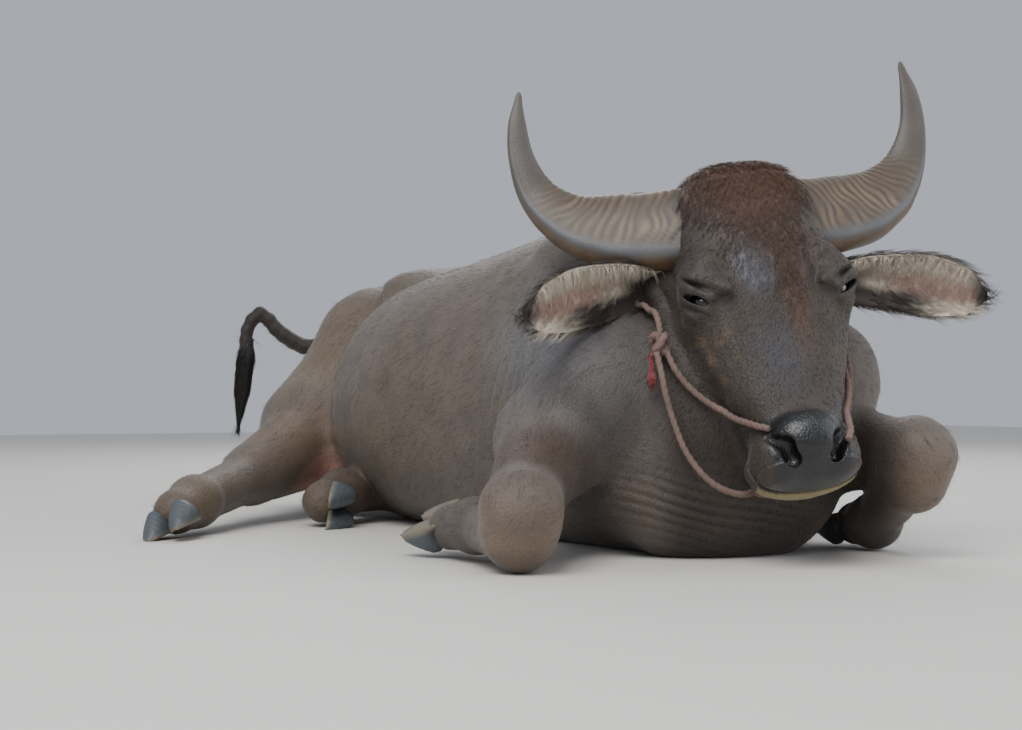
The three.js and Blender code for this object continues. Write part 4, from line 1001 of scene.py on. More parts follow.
@dataclass
class Buffalo:
    """The buffalo itself: skin, coat, ears, horns, eyes, hooves and switch.

    Attributes:
        fine: Cell size of the skin on the head.
        middling: Cell size over neck and shoulders.
        coarse: Cell size elsewhere.
        most: The most triangles that the skin may have.
        claw_half: Half the width of a claw.
        claw_height: Height of a claw at its front.
        claw_length: Length of a claw along its sole.
        ear_half: Half the width of an ear.
        ear_length: Length of each ear.
        form: The flesh under the skin.
    """

    fine: float = 3.6
    middling: float = 5.0
    coarse: float = 9.0
    most: int = 194000
    claw_half: float = 21
    claw_height: float = 46
    claw_length: float = 80
    ear_half: float = 46
    ear_length: dict[str, float] = field(default_factory=lambda: {"right": 288, "left": 272})
    form: Form = field(default_factory=Form)

    def grid(self, bounds: Sequence[tuple[float, float]]) -> np.ndarray:
        """Grid lines along one axis from a list of (end, cell size) after the start."""
        lines = [bounds[0][0]]
        for end, cell in bounds[1:]:
            count = max(1, round((end - lines[-1]) / cell))
            lines.extend(np.linspace(lines[-1], end, count + 1)[1:])
        return np.array(lines)

    def skin(self) -> bpy.types.Object:
        """The whole hide as one closed skin with its markings."""
        xs = self.grid([(-790, 0), (-345, self.coarse), (130, self.fine), (430, self.coarse)])
        ys = self.grid([(-330, 0), (-60, self.fine), (330, self.middling), (1560, self.coarse)])
        zs = self.grid([(-30, 0), (20, self.coarse), (560, self.fine * 1.15), (620, self.coarse)])
        vertices, faces = polygonised(self.form.skin, xs, ys, zs)
        vertices, faces = self.refined(vertices, faces)
        normals = gradient(self.form.skin, vertices)
        normals /= np.linalg.norm(normals, axis=1)[:, None] + 1e-9
        q = to_head(vertices)
        vertices = vertices + normals * Markings.folds(vertices, q)[:, None]
        vertices[:, 2] = np.maximum(vertices[:, 2], 0.5)
        vertices, faces = self.thinned(vertices, faces)
        normals = gradient(self.form.skin, vertices)
        normals /= np.linalg.norm(normals, axis=1)[:, None] + 1e-9
        return made("hide", vertices, faces, **Markings.of(vertices, to_head(vertices), normals))

    def thinned(self, vertices: np.ndarray, faces: Sequence[Sequence[int]]) -> tuple[np.ndarray, list[list[int]]]:
        """The skin with larger faces where it is plain, down to the most triangles that it may have."""
        thing = made("plain_skin", vertices, faces)
        thin = thing.modifiers.new("Thin", "DECIMATE")
        thin.ratio = self.most / sum(len(f) - 2 for f in faces)
        bpy.context.view_layer.update()
        mesh = bpy.data.meshes.new_from_object(thing.evaluated_get(bpy.context.evaluated_depsgraph_get()))
        bpy.data.objects.remove(thing)
        co = np.zeros(len(mesh.vertices) * 3, np.float32)
        mesh.vertices.foreach_get("co", co)
        kept = [list(f.vertices) for f in mesh.polygons]
        bpy.data.meshes.remove(mesh)
        return co.reshape(-1, 3).astype(float) / MM, kept

    def refined(self, vertices: np.ndarray, faces: np.ndarray) -> tuple[np.ndarray, list[list[int]]]:
        """The skin with smaller faces round eyes, nostrils and mouth."""
        work = bmesh.new()
        points = [work.verts.new(v) for v in vertices]
        for f in faces:
            try:
                work.faces.new([points[i] for i in f])
            except ValueError:
                continue
        work.verts.index_update()
        m = one_sided(to_head(np.array([v.co[:] for v in work.verts])))
        chosen = np.linalg.norm(m - (EYE + vec(10, 12, 0)), axis=1) < 46
        chosen |= (m[:, 2] > 372) & (m[:, 1] > -132) & (m[:, 1] < 12)
        edges = [e for e in work.edges if chosen[e.verts[0].index] and chosen[e.verts[1].index]]
        bmesh.ops.subdivide_edges(work, edges=edges, cuts=1, use_grid_fill=True)
        work.verts.index_update()
        co = np.array([v.co[:] for v in work.verts], float)
        off = np.abs(self.form.skin(co)) > 0.05
        co[off] = settled(self.form.skin, co[off], 0.0, 3.0, 3)
        out = [[v.index for v in f.verts] for f in work.faces]
        work.free()
        return co, out

    def coats(self, hide: bpy.types.Object) -> list[bpy.types.Object]:
        """The hair that breaks the form of the hide, body and head apart."""
        growth = np.zeros(len(hide.data.vertices), np.float32)
        hide.data.attributes["Growth"].data.foreach_get("value", growth)
        co = np.zeros(len(growth) * 3, np.float32)
        hide.data.vertices.foreach_get("co", co)
        q = to_head(co.reshape(-1, 3) / MM)
        poll = Markings.poll(q)
        face = step(60, 100, q[:, 2]) * step(-330, -250, q[:, 1]) * (np.abs(q[:, 0]) < 150)
        jobs = (
            ("body_hair", Tuft(1, 22, 0.7, 0, 1.9), 5000, growth * (1 - poll) * (1 - face), 3),
            ("face_hair", Tuft(2, 9, 0.5, 1.6, 0.9), 26000, growth * face * (1 - poll), 5),
            ("poll_hair", Tuft(3, 24, 0.8, 6, 3, 3), 110000, poll, 8),
            ("chin_whiskers", Tuft(1, 26, 0.5, 0, 12, 3), 9000, Markings.whiskers(q), 13),
        )
        store = hide.data.attributes["Growth"].data
        out = []
        for name, tuft, density, mask, seed in jobs:
            store.foreach_set("value", mask.astype(np.float32))
            out.append(grow(name, hide, tuft, density, seed))
        return out

    def horns(self) -> None:
        """Both horns, each broad and ridged in front, round behind and smooth at the tip."""
        for side, s in SIDES.items():
            flare = 1 if side == "right" else 6
            path = [on_head(s * 66, 40, -50), on_head(s * 140, 31, -67), on_head(s * 200, 13, -80),
                    on_head(s * (250 - flare * 0.3), -14, -86), on_head(s * 290, -60, -81),
                    on_head(s * (308 + flare * 0.6), -113, -62), on_head(s * (309 + flare), -163, -42),
                    on_head(s * (300 + flare * 1.2), -212, -21)]
            places, ways = curve(path, 170)
            t = np.linspace(0, 1, len(places))
            girth = through(vec(0, 0.28, 0.43, 0.59, 0.74, 0.88, 1), vec(65, 62, 50, 33, 21, 14, 5), t)
            girth *= np.where(t > 0.975, np.sqrt(np.maximum(1 - ((t - 0.975) / 0.027) ** 2, 0.01)), 1)
            a = np.linspace(0, TURN, 56, endpoint=False)
            rings, tint = [], []
            for i, (p, way) in enumerate(zip(places, ways)):
                wide = unit(np.cross(vec(0, 1, 0), way))
                thick = unit(np.cross(way, wide))
                up = np.sin(a)
                depth = np.where(up > 0, np.abs(up) ** 0.7 * 0.5, up * 0.76)
                face = step(-0.1, 0.5, up)
                fade = step(0.72, 0.45, t[i])
                brow = np.cos(a) * s
                here = np.repeat(p[None], len(a), 0) + np.outer(np.cos(a), wide) * girth[i]
                uneven = ripple(here, 55, 6)
                phase = t[i] * 29 + 1.15 * brow + 0.4 * uneven
                crest = np.abs(np.sin(math.pi * phase))
                ridged = face * fade * step(-0.78, -0.5, brow)
                ridged = ridged * np.clip(0.75 + 0.5 * ripple(here, 38, 8), 0, 1)
                rim = near(brow[:, None], (-0.78,), 0.22) * step(-0.1, 0.3, up) * step(0.95, 0.6, t[i])
                ridge = (crest**0.6 - 0.6) * ridged + 1.3 * rim
                wear = ripple(here, 36, 4)
                size = girth[i] + 2.6 * ridge + 0.7 * wear * fade
                rings.append(p + np.outer(np.cos(a) * size, wide) + np.outer(depth * size, thick))
                under = step(-0.72, -0.86, brow) * step(0.75, 0.3, up) + step(-0.1, -0.5, up) * step(0.3, -0.2, brow)
                colour = plain("#54493f", len(a))
                # The ridge crests are lighter in yellowish brown, partly the horn's own tone and partly painted
                # highlight; the troughs between them are darker with painted shade
                colour = blend(colour, "#7d6a52", ridged * crest**2 * (0.55 + 0.35 * uneven))
                colour = blend(colour, "#332b25", ridged * (1 - crest) ** 2 * 0.8)
                colour = blend(colour, "#6a543a", np.clip(under, 0, 1) * fade * (0.6 + 0.4 * ripple(here, 20, 3)))
                # Painted highlight: blue-grey along the rounded rim that parts the front face from the underside
                colour = blend(colour, "#5a5d62", rim * 0.85)
                colour = blend(colour, "#57524d", np.full(len(a), step(0.5, 0.75, t[i]) * 0.9))
                colour = blend(colour, "#2c2420", np.full(len(a), step(0.14, 0.0, t[i]) * 0.8))
                tint.append(colour)
            vertices, faces = rings_mesh(np.array(rings))
            thing = made(f"horn_{side}_ridged", CROWN + vertices @ HEAD_AXES.T, faces,
                         Tint=ring_marks(np.array(tint)))
            finished(thing, Stuff.HORN, [f"horn_{side}"])

    def ears(self) -> None:
        """Both ears, with the hair inside the cup and the fringe along the edge."""
        for side, s in SIDES.items():
            right = side == "right"
            start = on_head(s * 88, 98 if right else 108, -122 if right else -128)
            axis = unit(on_head(s * 0.965, 0.2 if right else 0.25, 0.38 if right else 0.26))
            droop = on_head(0, 0.883, -0.469)
            opened = on_head(0, 0.7, 0.67)
            opened = unit(opened - axis * (opened @ axis))
            across = np.cross(axis, opened)
            steps, arc = 76, 26
            stations, widths = vec(0, 0.2, 0.45, 0.7, 0.88, 1), vec(0.5, 0.66, 0.94, 1.04, 0.84, 0.34)
            rings, tint, growth, lie = [], [], [], []
            for i in range(steps + 1):
                t = i / steps
                half = self.ear_half * float(through(stations, widths, vec(t))[0])
                half *= 1 - 0.55 * max(0, (t - 0.93) / 0.07) ** 2
                depth = 27 - 18 * t
                wall = 3.2 + 60 * max(0, 0.28 - t)
                p = start + axis * t * self.ear_length[side] + droop * 25 * t**3
                a = np.pi * np.arange(arc + 1) / arc
                inner = np.maximum(depth * np.sin(a) - wall, -3)
                wave = 1.6 * np.sin(5 * a + 7 * t) * step(0.25, 0.5, np.full(arc + 1, t))
                back = p + np.outer(half * np.cos(a), across) - np.outer(depth * np.sin(a) + 0.5 * wave, opened)
                front = p + np.outer((half - 2.5) * np.cos(a), across) + np.outer(1.5 - inner + 0.5 * wave, opened)
                rings.append(np.concatenate([back, front[::-1]]))
                edge = np.abs(np.cos(a))
                top = -s * np.cos(a)
                span = np.full(arc + 1, t)
                outer = blend(plain("#332b27", arc + 1), "#4b3d32", edge * 0.4)
                cup = plain("#e2d6c4", arc + 1)
                cup = blend(cup, "#b9968a", step(0.7, 0.2, edge) * step(0.4, 0.6, span) * 0.85)
                cup = blend(cup, "#2f2622", step(0.42, 0.28, span) * step(1.1, 0.2, top))
                # Painted shade: the lower half of the cup darker, short of the tip
                cup = blend(cup, "#3a302b", step(-0.1, -0.5, top) * step(0.8, 0.55, span))
                cup = blend(cup, "#2b2420", step(0.9, 0.97, span))
                tint.append(np.concatenate([outer, cup[::-1]]))
                grown_out = 0.3 + 0.5 * step(0.75, 1.0, edge)
                long = step(0.1, 0.9, top) * step(0.22, 0.4, span) * step(1.0, 0.9, span)
                grown_in = 0.3 * step(0.35, 0.5, span) + 1.4 * long + 0.25 * step(0.8, 1.0, edge)
                growth.append(np.concatenate([grown_out, grown_in[::-1]]))
                fall = np.repeat((across * s - axis * 0.45 + opened * 0.25)[None], arc + 1, 0)
                past = np.repeat((axis + across * s * 0.4)[None], arc + 1, 0)
                share = step(-0.4, 0.2, top)[:, None]
                lie.append(np.concatenate([past, (fall * share + past * (1 - share))[::-1]]))
            vertices, faces = rings_mesh(np.array(rings))
            world = CROWN + vertices @ HEAD_AXES.T
            way = ring_marks(np.array(lie)) @ HEAD_AXES.T
            way /= np.linalg.norm(way, axis=1)[:, None]
            place = np.zeros((len(vertices), 3))
            rows = np.minimum(np.arange(len(vertices)) // (2 * arc + 2), steps)
            place[:, 0] = 0.05 + 0.4 * rows / steps
            place[:, 1] = 0.05 + 0.9 * (np.arange(len(vertices)) % (2 * arc + 2)) / (2 * arc + 2)
            thing = made(f"ear_{side}_cup", world, faces, Tint=ring_marks(np.array(tint)), Lie=way,
                         Growth=ring_marks(np.array(growth)), Unwrap=place)
            hair = grow(f"ear_{side}_hair", thing, Tuft(3, 34, 0.8, 7, 4, 3), 62000, 21 + s, sway=0.3)
            finished(thing, Stuff.EAR, [f"ear_{side}"])
            finished(hair, Stuff.HAIR)

    def eyes(self) -> None:
        """Both eyeballs, dark with a barely lighter ring."""
        for side, s in SIDES.items():
            work = bmesh.new()
            bmesh.ops.create_uvsphere(work, u_segments=40, v_segments=28, radius=EYE_RADIUS)
            v = np.array([x.co[:] for x in work.verts])
            f = [[x.index for x in face.verts] for face in work.faces]
            work.free()
            look = SLIT_AXES[2]
            tilt = np.degrees(np.arccos(np.clip(v @ look / EYE_RADIUS, -1, 1)))
            tint = blend(plain("#241a16", len(v)), "#1a0f0a", step(46, 40, tilt))
            tint = blend(tint, "#040303", step(24, 19, tilt))
            m = v + EYE
            m[:, 0] *= s
            if s < 0:
                f = [face[::-1] for face in f]
            thing = made(f"eye_{side}_ball", CROWN + m @ HEAD_AXES.T, f, Tint=tint)
            finished(thing, Stuff.EYE, [f"eye_{side}"])

    def claws(self) -> None:
        """The eight claws, each with growth rings and a worn edge."""
        feet = [("foreleg", leg) for leg in FORE.values()] + [("hindleg", leg) for leg in HIND.values()]
        for limb_name, leg in feet:
            forward = unit(leg.toe)
            up = -leg.sole
            up = unit(up - forward * (up @ forward))
            across = np.cross(up, forward)
            for s, which in ((-1, "inner"), (1, "outer")):
                toe = unit(forward + across * s * 0.05)
                beside = np.cross(up, toe)
                heel = leg.pastern + leg.heel + across * s * 23
                t, stations = np.linspace(0, 1, 40), vec(0, 0.14, 0.38, 0.62, 0.84, 1)
                wide = self.claw_half * through(stations, vec(0.62, 0.92, 1, 0.94, 0.7, 0.24), t)
                high = self.claw_height * through(stations, vec(0.5, 0.84, 1, 0.76, 0.44, 0.16), t)
                a = np.linspace(0, math.pi, 22)
                rings, tint = [], []
                for share, half, top in zip(t, wide, high):
                    growth = 0.5 * math.sin(share * 62)
                    x = np.concatenate([[0.5 * half, 0.93 * half], half * np.cos(a), [-0.93 * half, -0.5 * half]])
                    y = np.concatenate([[1.5, 0], top * (0.22 + 0.78 * np.sin(a)) + growth, [0, 1.5]])
                    rings.append(heel + np.outer(x, beside) + np.outer(y, up) + toe * share * self.claw_length)
                    colour = blend(plain("#4d5459", len(x)), "#2a2827", np.full(len(x), step(0.3, 0.0, share)))
                    colour = blend(colour, "#8f8166", step(10, 1, y) * 0.6)
                    tint.append(colour)
                v, f = rings_mesh(np.array(rings))
                v[:, 2] = np.maximum(v[:, 2], 0.4)
                thing = made(f"{limb_name}_{leg.side}_{which}_hoof", v, f, Tint=ring_marks(np.array(tint)))
                finished(thing, Stuff.HOOF, [f"{limb_name}_{leg.side}_claw_{which}"])

    def switch(self) -> None:
        """The long hair at the tail's end."""
        top = TAIL_PATH[-1]
        down = unit(vec(-0.09, 0.05, -1))
        t = np.linspace(0, 1, 26)
        path = top + np.outer(-84 + 198 * t, down) + np.outer(np.maximum(0.45 - t, 0) ** 2 * 14, vec(0.8, -0.3, 0))
        radius = through(vec(0, 0.15, 0.5, 0.75, 1), vec(12, 16, 15, 9, 2), t)
        rings = strand(path, radius, 16)
        count, sides = rings.shape[:2]
        v, f = rings_mesh(rings)
        spot = np.zeros((len(v), 3))
        spot[:, 0] = 0.1 + 0.8 * np.minimum(np.arange(len(v)) // sides, count) / count
        spot[:, 1] = 0.1 + 0.8 * (np.arange(len(v)) % sides) / sides
        tint = plain("#1d1613", len(v))
        side = v - (top + np.outer((v - top) @ down, down))
        lie = down + 0.002 * side
        core = made("switch_core", v, f, Tint=tint, Lie=lie, Unwrap=spot,
                    Growth=step(0.16, 0.2, spot[:, 0]) * step(0.92, 0.86, spot[:, 0]))
        hair = grow("switch_hair", core, Tuft(3, 60, 1.2, 4, 2.4, 4), 210000, 31, (0.5, 1.0), 0.07)
        finished(core, Stuff.HAIR, ["tail_switch"])
        finished(hair, Stuff.HAIR)


class Markings:
    """Colours with some painted shade and highlights, creases and the lie of the hair, as they run over the body."""

    @staticmethod
    def poll(q: np.ndarray) -> np.ndarray:
        """Where the long reddish hair of the crown and forehead grows."""
        crown = near(q, on_head(0, 10, -20), (125, 84, 96))
        forehead = near(q, on_head(6, 104, 16), (96, 50, 104)) * 0.55
        streak = near(q, on_head(22, 190, 12), (30, 30, 90)) * 0.25
        return np.clip(1.7 * crown + forehead + streak, 0, 1) * (q[:, 1] > -120)

    @staticmethod
    def whiskers(q: np.ndarray) -> np.ndarray:
        """Where long single hairs stand round mouth and chin."""
        m = np.abs(q[:, 0])
        chin = near(q, on_head(0, 440, -138), (70, 34, 52))
        lip = near(np.stack([m, q[:, 1], q[:, 2]], 1), on_head(48, 440, -84), (30, 26, 40)) * 0.35
        return np.clip(chin + lip, 0, 1)

    @staticmethod
    def folds(p: np.ndarray, q: np.ndarray) -> np.ndarray:
        """How far the skin stands out in folds and creases, in millimetres."""
        m = one_sided(q)
        bend = p + 5 * np.stack([ripple(p, 150, 1), ripple(p, 130, 2), ripple(p, 170, 3)], 1)

        def waves(along: np.ndarray, size: float, depth: float, mask: np.ndarray) -> np.ndarray:
            """Round folds with narrow creases between them."""
            return depth * mask * (np.abs(np.sin(math.pi * along / size)) ** 0.7 - 0.62)

        d = 0.9 * ripple(p, 90, 9) * step(0, 60, p[:, 2])
        d += waves(bend @ unit(vec(0.1, 0.95, 0.3)), 24, 9.0,
                   np.minimum(1.0, 2.4 * near(p, (-300, 180, 265), (150, 150, 250))))
        d += waves(bend @ unit(vec(0.2, -0.75, 0.6)), 31, 6.5, near(p, (-150, 30, 360), (150, 130, 170)))
        d += waves(bend @ unit(vec(0.22, -0.11, 1.0)), 14, 5.5, near(p, (-110, -70, 70), (230, 170, 110)))
        # The fold where the inside of the thigh meets the groin
        t = np.clip((p - vec(-345, 885, 150)) @ vec(-125, -35, -105) / 27875, 0, 1)[:, None]
        seam = np.linalg.norm(p - vec(-345, 885, 150) - t * vec(-125, -35, -105), axis=1)
        d -= 7 * step(16, 0, seam)
        d += waves(bend @ unit(vec(0.25, 0.3, -0.9)), 38, 3.5, near(p, (-330, 900, 190), (120, 150, 130)))
        # Loose skin in front of the stifle and over the ribs
        d += waves(bend @ unit(vec(0, 1, 0.12)), 74, 2.4, near(p, (-330, 560, 300), (140, 330, 190)))
        brow = (m - on_head(88, 176, 0)) @ unit(vec(0.5, 0.2, -0.8))
        d += waves(brow + 2 * ripple(m, 50, 5), 8.5, 1.6, near(m, on_head(84, 180, -2), (34, 26, 32)))
        under = (m - EYE) @ SLIT_AXES[1]
        d += waves(under, 7.5, 1.3, near(m, EYE + vec(12, 12, 22), (26, 24, 22)) * (under < -10))
        d += waves(m[:, 2] + 0.3 * m[:, 0], 12, 0.9, near(m, on_head(0, 372, -8), (44, 26, 34)))
        for leg in (*FORE.values(), *HIND.values()):
            way = unit(leg.pastern - leg.fetlock)
            d += waves((p - leg.fetlock) @ way, 15, 2.6, near(p, 0.5 * (leg.fetlock + leg.pastern), (64, 64, 60)))
        return d

    @staticmethod
    def of(p: np.ndarray, q: np.ndarray, n: np.ndarray) -> dict[str, np.ndarray]:
        """The marks of the hide at each of its points.

        Args:
            p: Points of the skin.
            q: The same in the head's frame.
            n: The skin's outward normals there.

        Returns:
            Tint, with its painted shade and highlights, then Wet, Growth, Lie and Unwrap.
        """
        m = one_sided(q)
        tint = plain("#5f554d", len(p))
        patch = 0.5 + 0.5 * ripple(p, 260, 12)
        tint = blend(tint, "#62543f", 0.6 * patch * step(300, 900, p[:, 1]))
        # Haunch, shank, shoulder, armpit, crest, brisket and the side of the neck, with painted sheen in the bluish
        # greys and painted shade under the head
        for colour, centre, reach, share in (
            ("#66543f", (-250, 1180, 280), (270, 280, 260), 1.0),
            ("#604c38", (-400, 900, 150), (230, 190, 120), 0.9),
            # Painted sheen: bluish grey over shoulder, armpit and crest
            ("#5a5a5d", (-230, 80, 300), (210, 230, 260), 0.9),
            ("#66686a", (-250, 200, 330), (110, 160, 150), 0.6),
            ("#4e5052", (-90, 80, 470), (150, 200, 130), 0.6),
            # Painted shade under the head: the darker brisket and side of the neck
            ("#3b3431", (-20, -90, 90), (240, 120, 110), 0.7),
            ("#2f2d2d", (-200, 20, 235), (140, 150, 180), 0.95),
        ):
            tint = blend(tint, colour, near(p, centre, reach) * share)
        tint = blend(tint, "#2c2420", step(1366, 1400, p[:, 1]) * step(-40, -90, p[:, 0]))
        for leg in FORE.values():
            for colour, centre, reach, share in (
                ("#4b3b2f", 0.3 * leg.root + 0.7 * leg.knee + vec(0, 0, 20), (150, 130, 120), 1.3),
                ("#86705a", leg.knee + vec(0, 0, -14), (96, 90, 84), 0.95),
                ("#3d3630", leg.fetlock, (90, 110, 80), 0.9),
                ("#43352b", 0.45 * leg.root + 0.55 * leg.knee + vec(0, 0, 22), (120, 120, 84), 1.3),
            ):
                tint = blend(tint, colour, near(p, centre, reach) * share)
        for leg in HIND.values():
            tint = blend(tint, "#5e5040", near(p, 0.5 * (leg.pastern + leg.fetlock), (140, 140, 90)) * 1.2)
        tint = blend(tint, "#3d2d2b", near(p, HIND["left"].fetlock, (130, 110, 90)) * 0.8)
        below = step(8, -8, p[:, 2] - 150 - 0.84 * (p[:, 0] + 345))
        tint = blend(tint, "#a87c70", near(p, (-375, 885, 85), (130, 90, 80)) * 1.2 * below)
        head = step(-330, -240, q[:, 1]) * step(-60, 20, q[:, 2]) * step(200, 140, np.abs(q[:, 0]))
        tint = blend(tint, "#352d27", head * 0.92)
        speck = step(0.25, 0.8, ripple(q, 26, 15)) * head
        tint = blend(tint, "#5e4d39", speck * near(m, on_head(92, 262, -60), (60, 90, 90)) * 0.8)
        # Painted bluish highlights on the forehead and the bridge of the nose, and the rusty streak beside them
        for colour, centre, reach, share in (
            ("#696f78", on_head(-22, 150, 20), (42, 40, 70), 1.0),
            ("#3d3d44", on_head(-10, 300, 0), (58, 40, 100), 0.7),
            ("#5a3d29", on_head(30, 250, 10), (34, 30, 150), 0.6),
        ):
            tint = blend(tint, colour, near(q, centre, reach) * share)
        tint = blend(tint, "#6d5041", Markings.poll(q))
        rim = near(m, EYE + vec(12, 14, 0), (26, 24, 28))
        tint = blend(tint, "#1d1a19", rim * 0.9)
        nose = step(374, 388, m[:, 2]) * step(64, 52, m[:, 0]) * step(-73, -68, m[:, 1])
        tint = blend(tint, "#0d0e10", nose)
        lip = step(-73, -77, m[:, 1]) * step(-128, -116, m[:, 1]) * step(388, 404, m[:, 2]) * (m[:, 0] < 70)
        tint = blend(tint, "#8f8258", lip * 0.85)
        tint = blend(tint, "#5c5654", near(m, on_head(46, 430, -84), (34, 30, 40)) * 0.8 * (1 - nose))
        # Painted shade: the hide darker within 50 mm of the floor
        tint = tint * (1 - 0.35 * step(50, 5, p[:, 2]))[:, None]
        wet = nose * 0.95 + rim * 0.3 + near(m, on_head(40, 430, -20), (22, 22, 22)) * 0.3
        growth = np.clip(1 - 1.4 * nose - lip - rim * 0.6 - near(m, on_head(0, 430, -110), (70, 40, 40)), 0, 1)
        growth *= step(6, 40, p[:, 2])
        axes = body_axes()
        spots = [axis.place(p) for axis in axes]
        nearest = np.argmin([spot[2] for spot in spots], axis=0)
        weights = np.exp(-np.clip([spot[2] for spot in spots], 0, 400) / 30) + 1e-9
        lie = sum(w[:, None] * axis.lie() for w, axis in zip(weights, axes))
        poll = Markings.poll(q)[:, None]
        lie = lie * (1 - poll) + poll * (HEAD_AXES @ vec(0, 0.15, 1)) * 2
        lie = lie - n * np.einsum("ij,ij->i", lie, n)[:, None]
        lie /= np.linalg.norm(lie, axis=1)[:, None] + 1e-9
        place = np.zeros((len(p), 3))
        for i, (t, turn, _) in enumerate(spots):
            own = nearest == i
            place[own, 0] = (i % 4 + 0.04 + 0.92 * t[own]) / 4
            place[own, 1] = (i // 4 + 0.04 + 0.92 * turn[own]) / 4
        return {"Tint": tint, "Wet": np.clip(wet, 0, 1), "Growth": growth, "Lie": lie, "Unwrap": place}


# What it wears


@dataclass
class Halter:
    """The rope halter with its knot and tassel.

    Attributes:
        girth: Radius of the rope.
        twist: Length of one turn of its strands.
        form: The body that it lies on.
    """

    girth: float = 4.4
    twist: float = 34
    form: Form = field(default_factory=Form)

    def laid(self, points: Sequence[np.ndarray], off: float) -> np.ndarray:
        """A path over the skin at a height, from a few points near it."""
        path, _ = curve(points, len(points) * 3)
        clear = self.form.body(path) > self.girth + off
        path = np.where(clear[:, None], path, settled(self.form.body, path, self.girth + off, 30, 8))
        run = np.linalg.norm(np.diff(path, axis=0), axis=1).sum()
        return curve(path, int(run / 2.5))[0]

    def build(self) -> None:
        """The ropes, the knot and the tassel."""
        knot = vec(-184, -80, 316)
        crest = head_point(0, -50, -290)
        right = [vec(-93, -229, 186), vec(-102, -199, 199), vec(-108, -155, 211), vec(-121, -123, 225),
                 vec(-145, -105, 247), vec(-167, -95, 277), knot + vec(8, 0, -4)]
        headstall = [knot, vec(-173, -65, 334), vec(-165, -38, 360), head_point(-160, 120, -190),
                     head_point(-120, 50, -270), head_point(-60, -20, -300), crest]
        left = [head_point(*p) for p in (
            (47, 432, -4), (61, 392, -36), (78, 362, -60), (95, 332, -84), (108, 300, -102), (114, 268, -114),
            (120, 232, -124), (124, 190, -136), (134, 140, -176), (124, 60, -270), (60, -20, -300))] + [crest]
        loop = [vec(-190, -84, 300), vec(-189, -94, 272), vec(-185, -98, 244), vec(-173, -101, 203),
                vec(-160, -115, 158), vec(-136, -133, 121), vec(-112, -142, 106), vec(-86, -146, 100),
                vec(-50, -126, 104), vec(0, -116, 110), vec(50, -108, 122), vec(84, -98, 146),
                vec(96, -84, 200), vec(108, -64, 260), vec(120, -52, 310), vec(130, -64, 352)]
        for name, points, off, node in (
            ("cheek_rope_right", right, 1.0, "halter_rope_right"),
            ("headstall", headstall, 1.0, "halter_headstall"),
            ("cheek_rope_left", left, 1.0, "halter_rope_left"),
            ("neck_loop", loop, 5.0, "halter_neck_loop"),
        ):
            v, f = rings_mesh(strand(self.laid(points, off), self.girth, 18, self.twist))
            finished(made(name, v, f), Stuff.ROPE, [node])
        centre = settled(self.form.body, knot[None], 11, 30, 8)[0]
        t = np.linspace(0, 4 * math.pi, 150)
        swell = 8.5 + 4 * np.cos(1.5 * t)
        wound = centre + np.stack([swell * np.cos(t), swell * np.sin(t), 8 * np.sin(1.5 * t)], 1) * vec(0.9, 1, 1.5)
        v, f = rings_mesh(strand(wound, 5.2, 16, self.twist))
        finished(made("halter_knot", v, f), Stuff.ROPE, ["halter_knot"])
        spots = centre + np.outer(np.linspace(14, 60, 16), vec(0, 0, -1)) + vec(-15, -2, 0)
        hung = settled(self.form.body, spots, 12, 8, 6)
        hung[:, 2] = spots[:, 2]
        radius = through(vec(0, 0.5, 0.75, 0.9, 1), vec(2.6, 3, 6, 6, 3), np.linspace(0, 1, 16))
        v, f = rings_mesh(strand(hung, radius, 16))
        place = np.zeros((len(v), 3))
        place[:, 0] = 0.1 + 0.7 * np.arange(len(v)) / len(v)
        tint = plain("#6f2628", len(v))
        core = made("tassel", v, f, Tint=tint, Growth=np.ones(len(v)), Unwrap=place,
                    Lie=np.repeat(vec(0, 0, -1)[None], len(v), 0))
        wool = grow("tassel_wool", core, Tuft(3, 14, 0.8, 3, 2), 160000, 41, sway=0.2)
        finished(core, Stuff.WOOL, ["halter_tassel"])
        finished(wool, Stuff.WOOL)


# The picture


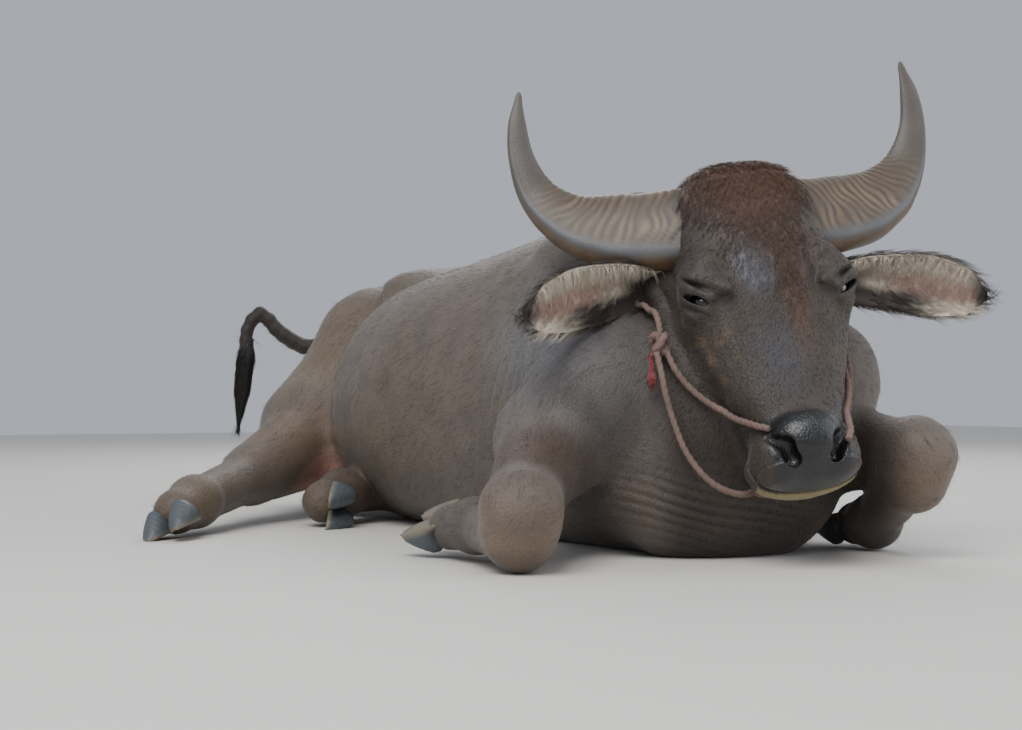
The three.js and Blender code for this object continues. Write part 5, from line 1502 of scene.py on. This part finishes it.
@dataclass(frozen=True)
class Studio:
    """Floor, soft lights and the camera of the photograph."""

    place: tuple[float, float, float] = (-1.3052, -1.9002, 0.240)
    tilt: float = 91.146
    turn: float = -26.0
    lens: float = 52.84

    def build(self) -> None:
        """Sets the floor, the lights and the camera."""
        bpy.ops.mesh.primitive_plane_add(size=14, location=(0, 0.5, 0))
        floor = bpy.context.object
        floor.name = "Floor"
        floor.data.materials.append(Stuff.FLOOR.value.build())
        world = bpy.data.worlds.new("Sky")
        world.use_nodes = True
        back = world.node_tree.nodes["Background"]
        back.inputs[0].default_value = (0.86, 0.9, 1.0, 1.0)
        back.inputs[1].default_value = 0.55
        bpy.context.scene.world = world
        for name, energy, size, place, aim in (
            ("Key", 150, 2.6, (-2.2, -1.6, 3.4), (0, 0.3, 0.2)),
            ("Fill", 45, 3.0, (2.6, -1.6, 1.8), (0, 0.2, 0.3)),
            ("Rim", 70, 2.4, (1.6, 3.2, 2.8), (0, 0.5, 0.4)),
        ):
            lamp = bpy.data.lights.new(name, "AREA")
            lamp.energy, lamp.size = energy, size
            thing = bpy.data.objects.new(name, lamp)
            way = vec(*aim) - vec(*place)
            thing.location = place
            down = math.acos(-way[2] / np.linalg.norm(way))
            thing.rotation_euler = (down, 0, math.atan2(way[1], way[0]) - math.pi / 2)
            bpy.context.scene.collection.objects.link(thing)
        lens = bpy.data.cameras.new("Camera")
        lens.lens, lens.sensor_width = self.lens, 36
        camera = bpy.data.objects.new("Camera", lens)
        camera.location = self.place
        camera.rotation_euler = (math.radians(self.tilt), 0, math.radians(self.turn))
        bpy.context.scene.collection.objects.link(camera)
        bpy.context.scene.camera = camera


def main() -> None:
    """Builds the animal, its halter and the studio."""
    logging.basicConfig(level=logging.INFO, format="%(message)s")
    animal = Buffalo()
    hide = animal.skin()
    hair = animal.coats(hide)
    flesh = ["head", "torso", "neck", "tail"]
    for limb_name in ("foreleg", "hindleg"):
        flesh += [f"{limb_name}_{side}_{part}" for side in SIDES for part in ("upper", "lower")]
    finished(hide, Stuff.HIDE, flesh)
    for piece in hair:
        finished(piece, Stuff.HAIR)
    for make in (animal.horns, animal.ears, animal.eyes, animal.claws, animal.switch, Halter().build):
        make()
    Studio().build()


if __name__ == "__main__":
    main()
